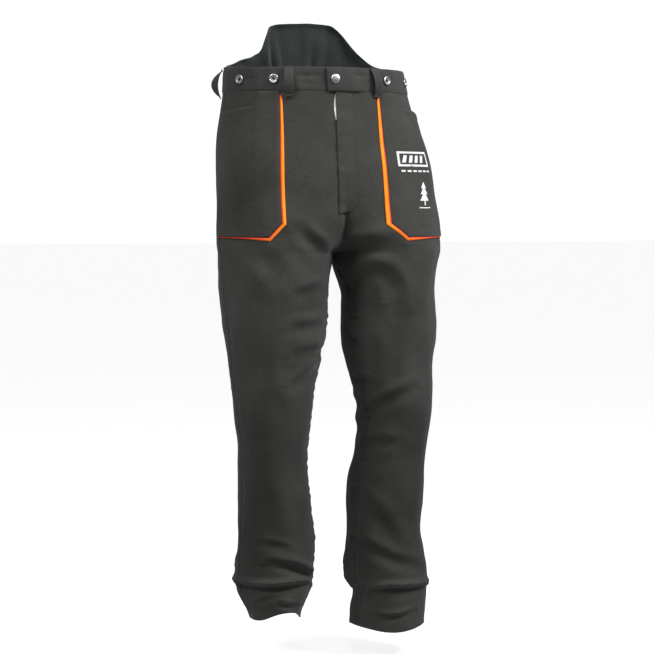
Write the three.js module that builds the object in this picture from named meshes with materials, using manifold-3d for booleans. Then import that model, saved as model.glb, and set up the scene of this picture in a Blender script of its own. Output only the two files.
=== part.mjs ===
// Chainsaw trousers with cut pads in the fronts, a high back, patch pockets and brace buttons.
// Millimetres. Z is up, the wearer faces -Y, and the wearer's right leg is at -X.
// The origin is the centre of the waist opening, level with the top edge of the waistband.
import * as THREE from "three";
import { mergeVertices } from "three/addons/utils/BufferGeometryUtils.js";
import Module from "manifold-3d";

const wasm = await Module();
wasm.setup();
const { clamp, degToRad, lerp, smoothstep } = THREE.MathUtils;

// ---- Fit of the garment ----
const waistWidth = 340;
const waistDepth = 230;
const seatWidth = 424;
const rise = 335; // waist edge down to the crotch
const outseam = 1045; // waist edge down to the hem
const hipSway = 32; // how far the hips stand to the wearer's left of the waist
const flySway = 0.4; // share of that sway that the fly and the front pockets follow
const kneeDepth = 174;
const hemDepth = 146;
const kneeDrop = 625; // waist edge down to the knee's axis

// ---- Cloth ----
const clothThick = 2;
const padThick = 6;
const layerGap = 0.6;
const seamGap = 0.3;
const bandHeight = 43;
const bandThick = 4;
const bandProud = 1.2; // the band's outer face stands this far outside the cloth
const outseamAngle = degToRad(4);
const inseamForward = degToRad(23); // how far the inseam runs forward of the leg's inner side
const inseamDrift = 120; // it gets there over this length below the crotch

// ---- Joints of the legs ----
const hipDrop = rise + 10;
const legAxisY = -9;
const hipForward = 45;
const hipBackward = 15;
const kneeBend = 90;
const kneeAbove = 34; // of the knee's bend, the degrees that the thigh's cloth leaves free
const foldMargin = 2; // degrees of clearance at each end of a fold's travel
const foldGap = 0.5;

const fleece = { color: 0x23262a, roughness: 0.95, metalness: 0 };
const finishes = {
  shell: { color: 0x3c3b38, roughness: 0.9, metalness: 0 },
  band: { color: 0x40403e, roughness: 0.9, metalness: 0 },
  fleece,
  pad: { color: 0xd8d4c8, roughness: 0.95, metalness: 0 },
  piping: { color: 0xff7a1a, roughness: 0.7, metalness: 0 },
  tape: { color: 0xcfd2d2, roughness: 0.8, metalness: 0 },
  nickel: { color: 0xb9bcbc, roughness: 0.3, metalness: 1 },
};
const materials = Object.fromEntries(
  Object.entries(finishes).map(([name, look]) => [name, new THREE.MeshStandardMaterial(look)]),
);
const trousers = new THREE.Group();
const sides = { right: -1, left: 1 };

// ---- Shape of the body: level sections, each made of two half ellipses a side ----

// Rows of [place, value, value, ...] as one smooth function of place.
function shaped(rows) {
  const size = rows[0].length - 1;
  const curve = new THREE.CubicInterpolant(
    rows.map((row) => row[0]),
    rows.flatMap((row) => row.slice(1)),
    size,
    new Float64Array(size),
  );
  return (at) => Array.from(curve.evaluate(clamp(at, rows[0][0], rows.at(-1)[0])));
}

// Share of the rise: share of the widening from waist to seat, pinch between the legs, belly,
// buttocks, sway.
const trunk = shaped([
  [0, 0, 0, 0, 0, 0],
  [0.13, 0.14, 0, 3, 4, 0.1],
  [0.42, 0.66, 0, 7, 17, 0.4],
  [0.69, 0.88, 0.2, 7, 23, 0.7],
  [0.95, 1, 0.8, 4, 13, 0.95],
  [1, 0.98, 1, 1, 3, 1],
]);

// Share of the inseam: width as a share of the crotch's, inner gap.
const legs = {
  right: shaped([
    [0, 1, 0],
    [0.1, 0.955, 9],
    [0.26, 0.83, 22],
    [0.42, 0.67, 42],
    [0.58, 0.62, 47],
    [0.73, 0.655, 39],
    [0.87, 0.7, 35],
    [0.95, 0.6, 43],
    [1, 0.47, 56],
  ]),
  left: shaped([
    [0, 1, 0],
    [0.1, 0.84, 23],
    [0.26, 0.79, 32],
    [0.42, 0.635, 58],
    [0.58, 0.65, 44],
    [0.73, 0.65, 36],
    [0.87, 0.69, 35],
    [0.95, 0.64, 40],
    [1, 0.62, 40],
  ]),
};
const kneeShare = (kneeDrop - rise) / (outseam - rise);
// Share of the inseam: front depth, back depth.
const legDepth = shaped([
  [0, waistDepth / 2 + 1, waistDepth / 2 + 3],
  [0.1, 112, 112],
  [0.26, 104, 98],
  [kneeShare, 0.54 * kneeDepth, 0.46 * kneeDepth],
  [0.58, 84, 78],
  [0.73, 80, 77],
  [0.87, 82, 79],
  [1, 0.52 * hemDepth, 0.48 * hemDepth],
]);
const sideName = (side) => (side < 0 ? "right" : "left");

// The section of one half of the body at a height: the middle plane, its own centre, half width and
// depths, and the angle where it meets the other half.
function section(side, z) {
  if (-z <= rise) {
    const [widening, pinchRaw, belly, buttocks, sway] = trunk(-z / rise);
    const pinch = clamp(pinchRaw, 0, 1);
    const halfWidth = lerp(waistWidth, seatWidth, widening) / 2;
    const width = halfWidth / (1 + pinch);
    return {
      plane: sway * hipSway,
      centre: sway * hipSway + side * width * pinch,
      width,
      front: waistDepth / 2 + belly,
      back: waistDepth / 2 + buttocks,
      end: Math.acos(-pinch),
    };
  }
  const share = (-z - rise) / (outseam - rise);
  const [slimness, innerGap] = legs[sideName(side)](share);
  const [front, back] = legDepth(share);
  const width = section(side, -rise).width * slimness;
  return {
    plane: hipSway,
    centre: hipSway + side * (width + innerGap),
    width,
    front,
    back,
    end: Math.PI,
  };
}

// A point on one half, at an angle from the wearer's side round the front, lifted off the cloth's
// outer face.
function bodyPoint(side, angle, z, lift = 0, gap = seamGap) {
  const { centre, width, front, back } = section(side, z);
  const depth = angle > 0 ? front : back;
  const normal = new THREE.Vector2(Math.cos(angle) / width, -Math.sin(angle) / depth).normalize();
  return new THREE.Vector3(
    centre + side * (gap + width * Math.cos(angle) + lift * normal.x),
    -depth * Math.sin(angle) + lift * normal.y,
    z,
  );
}

// The same on the whole hoop of the waist, at an angle from the centre front towards the wearer's left.
function hoopPoint(angle, z, lift = 0) {
  const side = angle < 0 ? -1 : 1;
  return bodyPoint(side, Math.PI / 2 - Math.abs(angle), z, lift, 0);
}

// Where the inseam runs, as an angle from the wearer's side round the front.
const inseamAngle = (z) => Math.PI - inseamForward * smoothstep(-z - rise, 0, inseamDrift);

// ---- Making solids ----

// A slab of cloth: place(u, v, w) says where each point of a unit slab goes, w running through the
// thickness.
function drape(columns, rows, place) {
  const slab = new THREE.BoxGeometry(1, 1, 1, columns, rows, 1);
  // The inner face's squares are split the same way as the outer face's, so both bend alike.
  const index = slab.index.array;
  const { start, count } = slab.groups[5];
  for (let i = start; i < start + count; i += 6) {
    const [a, b, d] = index.slice(i, i + 3);
    const c = index[i + 4];
    index.set([a, b, c, a, c, d], i);
  }
  const position = slab.getAttribute("position");
  for (let i = 0; i < position.count; i++) {
    const at = place(position.getX(i) + 0.5, position.getY(i) + 0.5, position.getZ(i) + 0.5);
    position.setXYZ(i, at.x, at.y, at.z);
  }
  return closed(slab);
}

// Only positions, with shared vertices merged and the faces turned out.
function closed(geometry) {
  geometry.deleteAttribute("normal");
  geometry.deleteAttribute("uv");
  const merged = mergeVertices(geometry, 1e-3);
  const [a, b, c] = [new THREE.Vector3(), new THREE.Vector3(), new THREE.Vector3()];
  const { position } = merged.attributes;
  const index = merged.index.array;
  let volume = 0;
  for (let i = 0; i < index.length; i += 3) {
    a.fromBufferAttribute(position, index[i]);
    b.fromBufferAttribute(position, index[i + 1]);
    c.fromBufferAttribute(position, index[i + 2]);
    volume += a.dot(b.cross(c));
  }
  if (volume < 0) {
    for (let i = 0; i < index.length; i += 3) {
      [index[i + 1], index[i + 2]] = [index[i + 2], index[i + 1]];
    }
  }
  return merged;
}

function solid(geometry) {
  return new wasm.Manifold(
    new wasm.Mesh({
      numProp: 3,
      vertProperties: new Float32Array(geometry.getAttribute("position").array),
      triVerts: new Uint32Array(geometry.index.array),
    }),
  );
}

function geometryOf(made) {
  const { vertProperties, triVerts } = made.getMesh();
  const geometry = new THREE.BufferGeometry();
  geometry.setAttribute("position", new THREE.BufferAttribute(vertProperties, 3));
  return geometry.setIndex(new THREE.BufferAttribute(triVerts, 1));
}

function piece(name, finish, geometry, parent = trousers) {
  const mesh = new THREE.Mesh(geometry, materials[finish]);
  mesh.name = name;
  parent.add(mesh);
  return mesh;
}

const block = (x, y, z, width, depth, height) =>
  solid(closed(new THREE.BoxGeometry(width, depth, height).translate(x, y, z)));

// ---- The legs' regions, as outlines seen from the wearer's side, run through in X ----
const wideReach = 600;
const deepReach = 180;
const slope = (degrees) => Math.tan(degToRad(degrees));
const hipZ = -hipDrop;
const kneeZ = -kneeDrop;
const ahead = legAxisY - deepReach;
const behind = legAxisY + deepReach;
const groinDrop = deepReach * slope(hipForward + foldMargin);
const seatDrop = deepReach * slope(hipBackward + foldMargin);
const kneeLift = deepReach * slope(kneeAbove);
const kneeFall = deepReach * slope(kneeBend - kneeAbove + foldMargin);
const outlines = {
  hip: [
    [ahead, hipZ + foldGap],
    [behind, hipZ + foldGap],
    [behind, wideReach],
    [ahead, wideReach],
  ],
  groinFold: [
    [legAxisY - foldGap, hipZ],
    [ahead, hipZ],
    [ahead, hipZ - groinDrop + foldGap],
  ],
  seatFold: [
    [legAxisY + foldGap, hipZ],
    [behind, hipZ],
    [behind, hipZ - seatDrop + foldGap],
  ],
  thigh: [
    [ahead, hipZ - groinDrop - foldGap],
    [legAxisY, hipZ - foldGap],
    [behind, hipZ - seatDrop - foldGap],
    [behind, kneeZ + kneeLift + foldGap],
    [legAxisY, kneeZ + foldGap],
    [ahead, kneeZ + foldGap],
  ],
  kneeFold: [
    [legAxisY + 2 * foldGap, kneeZ],
    [behind, kneeZ + kneeLift - foldGap],
    [behind, kneeZ - kneeFall + foldGap],
  ],
  shin: [
    [ahead, kneeZ - foldGap],
    [legAxisY, kneeZ - foldGap],
    [behind, kneeZ - kneeFall - foldGap],
    [behind, -2 * outseam],
    [ahead, -2 * outseam],
  ],
};
const alongX = new THREE.Matrix4().makeBasis(
  new THREE.Vector3(0, 1, 0),
  new THREE.Vector3(0, 0, 1),
  new THREE.Vector3(1, 0, 0),
);
const regions = Object.fromEntries(
  Object.entries(outlines).map(([name, points]) => {
    const outline = new THREE.Shape(points.map(([y, z]) => new THREE.Vector2(y, z)));
    const prism = new THREE.ExtrudeGeometry(outline, { depth: 2 * wideReach, bevelEnabled: false });
    prism.translate(0, 0, -wideReach).applyMatrix4(alongX);
    return [name, solid(closed(prism))];
  }),
);

// ---- Panels and pads of the legs ----

// One grid of rows and columns for every layer of a leg, so that the layers' facets lie parallel.
const trunkRows = 11;
const legRows = 15;
const panelColumns = 10;
const panelTop = -bandHeight - seamGap;
const seamAngle = 0.003; // each panel stops this many radians short of a seam

// Heights of the rows: closer together towards the crotch, even below it.
function rowHeight(row) {
  if (row >= trunkRows) return lerp(-rise, -outseam, (row - trunkRows) / legRows);
  const startAngle = Math.asin(-panelTop / rise);
  return -rise * Math.sin(lerp(startAngle, Math.PI / 2, row / trunkRows));
}

// From the outseam to the centre seam or inseam, in front or behind.
function panelAngle(side, facing, z, share) {
  const { end } = section(side, z);
  const inner = -z > rise ? inseamAngle(z) : end;
  if (facing === "front") return lerp(outseamAngle + seamAngle, inner - seamAngle, share);
  const behindSeam = -z > rise ? inner - 2 * Math.PI : -end;
  return lerp(outseamAngle - seamAngle, behindSeam + seamAngle, share);
}

// A layer of a leg over whole rows and columns of the grid.
function legCloth(side, facing, rows, columns, outer, thick) {
  return solid(
    drape(columns[1] - columns[0], rows[1] - rows[0], (u, v, w) => {
      const z = rowHeight(lerp(rows[1], rows[0], v));
      const angle = panelAngle(side, facing, z, lerp(columns[0], columns[1], u) / panelColumns);
      return bodyPoint(side, angle, z, outer - thick * (1 - w));
    }),
  );
}

const allRows = [0, trunkRows + legRows];
const allColumns = [0, panelColumns];
const padTopRow = 4;
const padRows = [padTopRow, trunkRows + legRows - 1];
const padColumns = [1, panelColumns - 1];
for (const [name, side] of Object.entries(sides)) {
  const front = legCloth(side, "front", allRows, allColumns, 0, clothThick);
  const back = legCloth(side, "back", allRows, allColumns, 0, clothThick);
  const foldThick = clothThick + layerGap + padThick;
  const foldCloth = legCloth(side, "front", allRows, allColumns, 0, foldThick);
  const pad = legCloth(side, "front", padRows, padColumns, -clothThick - layerGap, padThick);
  const cut = (from, region) => geometryOf(from.intersect(regions[region]));
  piece(`front_panel_${name}`, "shell", cut(front, "hip"));
  piece(`seat_panel_${name}`, "shell", cut(back, "hip"));
  piece(`groin_fold_${name}`, "shell", cut(foldCloth, "groinFold"));
  piece(`seat_fold_${name}`, "shell", cut(back, "seatFold"));
  piece(`thigh_front_${name}`, "shell", cut(front, "thigh"));
  piece(`thigh_back_${name}`, "shell", cut(back, "thigh"));
  piece(`knee_fold_${name}`, "shell", cut(back, "kneeFold"));
  piece(`shin_front_${name}`, "shell", cut(front, "shin"));
  piece(`shin_back_${name}`, "shell", cut(back, "shin"));
  piece(`cut_pad_hip_${name}`, "pad", cut(pad, "hip"));
  piece(`cut_pad_thigh_${name}`, "pad", cut(pad, "thigh"));
  piece(`cut_pad_shin_${name}`, "pad", cut(pad, "shin"));
}

// ---- What is fastened through or onto the waistband ----

// A frame on the band, its Y axis up along the cloth and its Z axis pointing out of it.
function onBand(angle, z, lift, reach = bandHeight / 2) {
  const up = hoopPoint(angle, z + reach, lift).sub(hoopPoint(angle, z - reach, lift)).normalize();
  const level = hoopPoint(angle, z, lift + 1).sub(hoopPoint(angle, z, lift));
  const across = new THREE.Vector3().crossVectors(up, level).normalize();
  const out = new THREE.Vector3().crossVectors(across, up);
  const place = new THREE.Group();
  place.quaternion.setFromRotationMatrix(new THREE.Matrix4().makeBasis(across, up, out));
  place.position.copy(hoopPoint(angle, z, lift));
  trousers.add(place);
  place.updateMatrix();
  return place;
}

// A turned piece whose profile is [radius, height] pairs, its axis along the frame's Z.
function turned(profile, facets = 16) {
  const points = profile.map(([radius, height]) => new THREE.Vector2(radius, height));
  return closed(new THREE.LatheGeometry(points, facets).rotateX(Math.PI / 2));
}

const shankRadius = 2.5;
const shankHole = shankRadius + 0.3;
const bandMiddle = -bandHeight / 2;
const tackRadius = 6;
const tackThick = 1.2;
const tackGap = 0.6;
const braceButton = { radius: 8.2, thick: 3, dish: 3.4, dishDepth: 1.6, angles: [38, 65, 166] };
const holes = { right: [], left: [], back: [] };

function drill(place, band) {
  const hole = turned([
    [0, -4 * bandThick],
    [shankHole, -4 * bandThick],
    [shankHole, 4 * bandThick],
    [0, 4 * bandThick],
  ]);
  holes[band].push(solid(closed(hole.applyMatrix4(place.matrix))));
}

for (const [name, side] of Object.entries(sides)) {
  braceButton.angles.forEach((angle, i) => {
    const { radius, thick, dish, dishDepth } = braceButton;
    const place = onBand(side * degToRad(angle), bandMiddle, bandProud + seamGap);
    const inside = -bandThick - seamGap - tackGap;
    piece(
      `brace_button_${name}_${["front", "side", "back"][i]}`,
      "nickel",
      turned([
        [0, inside - tackThick],
        [tackRadius, inside - tackThick],
        [tackRadius, inside],
        [shankRadius, inside],
        [shankRadius, 0],
        [radius - 1, 0],
        [radius, 1],
        [radius, thick - 1],
        [radius - 1, thick],
        [dish + 0.6, thick],
        [dish, thick - dishDepth],
        [0, thick - dishDepth],
      ]),
      place,
    );
    drill(place, angle > 90 ? "back" : name);
  });
}

// ---- Waistband: two fronts, the wearer's left lapped over the right, and the back ----
const lapLength = 14;
const lapLift = 4.6;
const lapFrom = degToRad(23);
const lapTo = degToRad(8);
const lapRaise = (angle) => lapLift * (1 - smoothstep(Math.max(angle, 0), lapTo, lapFrom));
const underLength = 12; // how far the right front's end runs on under the left one
const lapAngle = (2 * lapLength) / waistWidth;
const underAngle = (2 * underLength) / waistWidth;
const bandEnd = Math.PI / 2 - seamAngle;

function band(columns, from, to, raise) {
  return solid(
    drape(columns, 2, (u, v, w) => {
      const angle = lerp(from, to, u);
      return hoopPoint(angle, -bandHeight * (1 - v), bandProud + raise(angle) - bandThick * (1 - w));
    }),
  );
}

// The waist button: its cap turns on the shank, which runs through both laps to a tack inside.
const capRadius = 8.5;
const buttonPlace = onBand(0, bandMiddle, bandProud + lapLift + seamGap);
const buttonInside = -lapLift - bandThick - seamGap - tackGap;
piece(
  "waist_button",
  "nickel",
  turned([
    [0, buttonInside - tackThick],
    [tackRadius, buttonInside - tackThick],
    [tackRadius, buttonInside],
    [shankRadius, buttonInside],
    [shankRadius, 0],
    [capRadius - 1.2, 0],
    [capRadius, 1],
    [capRadius - 1, 2.4],
    [capRadius - 3, 3.2],
    [0, 3.2],
  ]),
  buttonPlace,
);
drill(buttonPlace, "left");
drill(buttonPlace, "right");

const flat = () => 0;
const rightBand = band(14, underAngle, -bandEnd, flat);
const leftBand = band(20, -lapAngle, bandEnd, lapRaise);
const backBand = (from, to) => band(12, from, to, flat);
const bored = (made, cuts) => geometryOf(cuts.reduce((left, hole) => left.subtract(hole), made));
piece("waistband_right", "band", bored(rightBand, holes.right));
piece("waistband_left", "band", bored(leftBand, holes.left));
const backHalves = [backBand(-Math.PI / 2, -Math.PI), backBand(Math.PI / 2, Math.PI)];
piece("waistband_back", "band", bored(backHalves[0].add(backHalves[1]), holes.back));

// ---- High back, standing on the back of the band ----
const backRise = 96;
const backLean = 6;
const backThick = 3.4;
const backReach = degToRad(82);
// Degrees from the spine: share of the height.
const backEdge = shaped([
  [0, 1],
  [20, 1],
  [24, 0.97],
  [30, 0.82],
  [37, 0.58],
  [44, 0.38],
  [52, 0.21],
  [64, 0.1],
  [82, 0.05],
]);
piece(
  "high_back",
  "fleece",
  drape(28, 3, (u, v, w) => {
    const fromSpine = lerp(-backReach, backReach, u);
    const height = backRise * backEdge(Math.abs(fromSpine) * THREE.MathUtils.RAD2DEG)[0];
    const angle = fromSpine < 0 ? -Math.PI - fromSpine : Math.PI - fromSpine;
    const lean = (backLean * height * v) / backRise;
    const at = hoopPoint(angle, 0, bandProud - seamGap - backThick * (1 - w) + lean);
    return at.setZ(seamGap + height * v);
  }),
);

// ---- Front patch pockets: their size, which the front belt loops keep clear of ----
const pocket = {
  fromCentre: 98,
  bottom: 306,
  chamfer: 26,
  mouthFrom: 0.36, // share of the way from the inner edge to the outseam
  mouthDrop: 24,
  mouthSlant: 14,
  gap: 1.2,
  bulge: 10,
  thick: 2,
};

// ---- Belt loops: straps bowed out over the band ----
const loop = { width: 17, height: 54, thick: 1.8, bow: 10, foot: 5 };
const loopBesidePocket = 18.2; // from the pocket's inner edge to the middle of the front loop
const frontLoopAngle = THREE.MathUtils.radToDeg(
  Math.asin((2 * (pocket.fromCentre - loopBesidePocket)) / waistWidth),
);
const loopAngles = [frontLoopAngle, 102, 146];
const backLoopAngle = 180;
const sideLoopBow = 16;

function loopProfile(bow, standOff) {
  const half = loop.height / 2;
  const outline = new THREE.Shape();
  outline.moveTo(standOff, half);
  outline.lineTo(standOff, half - loop.foot);
  outline.bezierCurveTo(bow, half - 2 * loop.foot, bow, 2 * loop.foot - half, standOff, loop.foot - half);
  outline.lineTo(standOff, -half);
  outline.lineTo(standOff + loop.thick, -half);
  outline.lineTo(standOff + loop.thick, loop.foot - half);
  const top = bow + 1.3 * loop.thick;
  outline.bezierCurveTo(
    top,
    2 * loop.foot - half,
    top,
    half - 2 * loop.foot,
    standOff + loop.thick,
    half - loop.foot,
  );
  outline.lineTo(standOff + loop.thick, half);
  outline.closePath();
  return outline;
}

function beltLoop(name, angle, bow) {
  const place = onBand(angle, 1 - loop.height / 2, bandProud, loop.height / 2 - 1);
  const strap = new THREE.ExtrudeGeometry(loopProfile(bow, 2 * seamGap), {
    depth: loop.width,
    bevelEnabled: false,
    curveSegments: 8,
  });
  // The profile's X axis becomes the frame's Z, pointing out of the cloth.
  strap.translate(0, 0, -loop.width / 2).rotateY(-Math.PI / 2);
  piece(name, "band", closed(strap), place);
}

for (const [name, side] of Object.entries(sides)) {
  loopAngles.forEach((angle, i) => {
    const bow = i === 1 ? sideLoopBow : loop.bow;
    beltLoop(`belt_loop_${name}_${["front", "side", "back"][i]}`, side * degToRad(angle), bow);
  });
}
beltLoop("belt_loop_back", degToRad(backLoopAngle), loop.bow);

// ---- Front patch pockets and their piping ----
const pocketTop = -bandHeight - 2 * seamGap;

// Share 0 is the pocket's inner edge, a set distance from the centre seam, and share 1 is the outseam.
function pocketAngle(side, share, z) {
  const { plane, centre, width } = section(side, z);
  const reach = pocket.fromCentre + side * (flySway * plane - centre);
  const innerEdge = Math.acos(clamp(reach / width, -1, 1));
  return lerp(innerEdge, outseamAngle, share);
}

const pocketColumns = 12;
const chamferShare = 2 / pocketColumns;

function pocketSpan(share) {
  const mouth = smoothstep(share, pocket.mouthFrom, pocket.mouthFrom + 0.08);
  const slant = (pocket.mouthSlant * Math.max(share - pocket.mouthFrom, 0)) / (1 - pocket.mouthFrom);
  return {
    top: pocketTop - mouth * pocket.mouthDrop - slant,
    bottom: -pocket.bottom + pocket.chamfer * Math.max(0, 1 - share / chamferShare),
  };
}

// How far the pocket stands off the panel: pressed down along its seams, open along its mouth.
function pocketLift(share, drop) {
  const belly = Math.sin(Math.PI * share) ** 0.8 * Math.sin(Math.PI * drop);
  const mouth = smoothstep(share, pocket.mouthFrom, pocket.mouthFrom + 0.3) * (1 - drop) ** 2;
  const closedAtSeam = 1 - smoothstep(share, 0.85, 1);
  return pocket.gap + pocket.bulge * Math.max(belly, 0.8 * mouth * closedAtSeam);
}

for (const [name, side] of Object.entries(sides)) {
  piece(
    `patch_pocket_${name}`,
    "shell",
    drape(pocketColumns, 9, (u, v, w) => {
      const { top, bottom } = pocketSpan(u);
      const z = lerp(top, bottom, 1 - v);
      const lift = pocketLift(u, 1 - v) + pocket.thick * w;
      return bodyPoint(side, pocketAngle(side, u, z), z, lift);
    }),
  );
}

// The piping follows the pocket's inner edge, chamfer and bottom. Each step has a place along it, then
// [share, z] beside the pocket and [share, z] at its outer edge.
const piping = { thick: 2.4, gap: 0.006 };
const chamferTop = pocket.chamfer - pocket.bottom;
const pocketFoot = -pocket.bottom - 0.8;
const pipingPath = [
  { at: 0, beside: [-piping.gap, pocketTop - 4], outside: [-0.02, pocketTop - 4] },
  { at: 0.2, beside: [-piping.gap, pocketTop - 60], outside: [-0.038, pocketTop - 60] },
  { at: 0.55, beside: [-piping.gap, chamferTop - 1], outside: [-0.052, chamferTop - 3] },
  {
    at: 0.65,
    beside: [chamferShare - 0.003, pocketFoot - 0.4],
    outside: [chamferShare - 0.02, pocketFoot - 7.2],
  },
  { at: 0.8, beside: [0.5, pocketFoot], outside: [0.5, pocketFoot - 3.2] },
  { at: 1, beside: [0.985, pocketFoot], outside: [0.985, pocketFoot - 2.2] },
];

function alongPiping(edge, u) {
  const next = Math.max(1, pipingPath.findIndex((step) => step.at >= u));
  const [from, to] = [pipingPath[next - 1], pipingPath[next]];
  const share = (u - from.at) / (to.at - from.at);
  return [0, 1].map((k) => lerp(from[edge][k], to[edge][k], share));
}

for (const [name, side] of Object.entries(sides)) {
  piece(
    `pocket_piping_${name}`,
    "piping",
    drape(20, 2, (u, v, w) => {
      const beside = alongPiping("beside", u);
      const outside = alongPiping("outside", u);
      const [share, z] = [0, 1].map((k) => lerp(beside[k], outside[k], v));
      const crown = piping.thick * (0.45 + 0.55 * Math.sin(Math.PI * v));
      return bodyPoint(side, pocketAngle(side, share, z), z, layerGap + crown * w);
    }),
  );
}

// ---- Back pocket with its flap, on the wearer's right ----
const backPocket = { middle: 141, width: 148, top: 96, bottom: 245, bulge: 8, flap: 52, flapOver: 5 };
const hipPoint = (angle, z, lift) => {
  const side = angle < 0 ? -1 : 1;
  return bodyPoint(side, Math.PI / 2 - Math.abs(angle), z, lift);
};
const perMm = 360 / (Math.PI * (seatWidth + waistDepth) / 2); // degrees of the hoop to a millimetre, about
const backAngle = (across) => -degToRad(backPocket.middle + across * perMm);
const half = backPocket.width / 2;
piece(
  "back_pocket",
  "shell",
  drape(10, 6, (u, v, w) => {
    const point = 18 * (1 - Math.abs(2 * u - 1)) * (1 - v);
    const z = lerp(-backPocket.bottom, -backPocket.top, v) - point;
    const standOff = Math.sin(Math.PI * u) * Math.max(Math.sin(Math.PI * v), 0.75 * smoothstep(v, 0.5, 1));
    const lift = pocket.gap + backPocket.bulge * standOff + pocket.thick * w;
    return hipPoint(backAngle(lerp(-half, half, u)), z, lift);
  }),
);
const flapHang = { lift: pocket.gap + backPocket.bulge + pocket.thick + 1, top: backPocket.top - 16 };
piece(
  "back_pocket_flap",
  "shell",
  drape(10, 4, (u, v, w) => {
    const reach = half + backPocket.flapOver;
    const drop = backPocket.flap * (1 - v) * (1 - 0.22 * Math.abs(2 * u - 1) ** 3);
    const rest = smoothstep(1 - v, 0, 0.35);
    const lift = lerp(pocket.gap, flapHang.lift, rest) + pocket.thick * w;
    return hipPoint(backAngle(lerp(-reach, reach, u)), -flapHang.top - drop, lift);
  }),
);

// ---- Fly: facing, shield and zip, in a flat frame behind the centre front ----
const fly = { length: 160, facing: 38, shield: 54, room: 8, curve: 26 };
const zip = { tapeWidth: 15, tapeThick: 0.8, coil: 1.2, coilOff: 2, pull: 14 };
const flyTop = -bandHeight - 4;
const facingLayer = { front: -1.7, back: -0.7, inner: 7 };
const shieldLayer = { front: 3.4, back: 4.6, offCentre: 3 };
const flyPoint = (z) =>
  bodyPoint(1, Math.PI / 2, z, -clothThick - fly.room, 0).setX(flySway * section(1, z).plane);
const flyFrame = new THREE.Group();
const flyUp = flyPoint(flyTop).sub(flyPoint(flyTop - fly.length)).normalize();
const flyAcross = new THREE.Vector3(1, 0, 0).addScaledVector(flyUp, -flyUp.x).normalize();
flyFrame.quaternion.setFromRotationMatrix(
  new THREE.Matrix4().makeBasis(flyAcross, new THREE.Vector3().crossVectors(flyUp, flyAcross), flyUp),
);
flyFrame.position.copy(flyPoint(flyTop));
trousers.add(flyFrame);

// An outline in the frame's X and Z, run through its Y from one depth to another.
function plate(outline, fromY, toY) {
  const settings = { depth: toY - fromY, bevelEnabled: false, curveSegments: 8 };
  const made = new THREE.ExtrudeGeometry(outline, settings);
  return closed(made.rotateX(Math.PI / 2).translate(0, toY, 0));
}

const facingOutline = new THREE.Shape();
facingOutline.moveTo(facingLayer.inner, 0);
facingOutline.lineTo(fly.facing, 0);
facingOutline.lineTo(fly.facing, fly.curve - fly.length);
facingOutline.quadraticCurveTo(fly.facing, -fly.length, facingLayer.inner, -fly.length);
facingOutline.closePath();
piece("fly_facing", "shell", plate(facingOutline, facingLayer.front, facingLayer.back), flyFrame);

const shieldRight = -fly.shield / 2 - shieldLayer.offCentre;
const shieldLeft = fly.shield / 2 - shieldLayer.offCentre;
const shieldOutline = new THREE.Shape();
shieldOutline.moveTo(shieldRight, 0);
shieldOutline.lineTo(shieldLeft, 0);
shieldOutline.lineTo(shieldLeft, fly.curve - fly.length);
shieldOutline.quadraticCurveTo(shieldLeft, -fly.length, 0, -fly.length);
shieldOutline.lineTo(shieldRight, -fly.length);
shieldOutline.closePath();
piece("fly_shield", "shell", plate(shieldOutline, shieldLayer.front, shieldLayer.back), flyFrame);

for (const [name, side] of Object.entries(sides)) {
  const tape = block(
    side * (zip.coilOff + zip.tapeWidth / 2),
    0,
    -fly.length / 2,
    zip.tapeWidth,
    zip.tapeThick,
    fly.length - 2,
  );
  const coil = new THREE.CylinderGeometry(zip.coil, zip.coil, fly.length - 6, 12).rotateX(Math.PI / 2);
  coil.translate(side * zip.coilOff, 0, -fly.length / 2);
  piece(`zip_tape_${name}`, "tape", geometryOf(tape.add(solid(closed(coil)))), flyFrame);
}

const plateGap = zip.coil + 0.4;
const sliderAt = -9;
const slider = [
  block(0, -plateGap - 0.5, sliderAt, 10, 1, 12),
  block(0, plateGap + 0.5, sliderAt, 10, 1, 12),
  block(0, 0, sliderAt + 4, 1, 2 * plateGap + 1, 3),
  block(0, -plateGap - 2, sliderAt + 4, 2, 2.6, 1.2),
  block(0, -plateGap - 2, sliderAt - 4, 2, 2.6, 1.2),
  block(0, -plateGap - 3, sliderAt, 2, 0.7, 9.2),
];
piece("zip_slider", "nickel", geometryOf(slider.reduce((a, b) => a.add(b))), flyFrame);

const barY = -plateGap - 1.8;
const pullParts = [
  block(0, barY, sliderAt, 8, 0.9, 0.9),
  block(-3.5, barY, sliderAt - 3, 1, 0.9, 6.9),
  block(3.5, barY, sliderAt - 3, 1, 0.9, 6.9),
  block(0, barY, sliderAt - (zip.pull + 6) / 2, 8, 0.9, zip.pull - 6),
];
piece("zip_pull", "nickel", geometryOf(pullParts.reduce((a, b) => a.add(b))), flyFrame);

export default trousers;
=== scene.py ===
import math

import bpy
import numpy as np
from mathutils import Matrix, Vector


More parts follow.
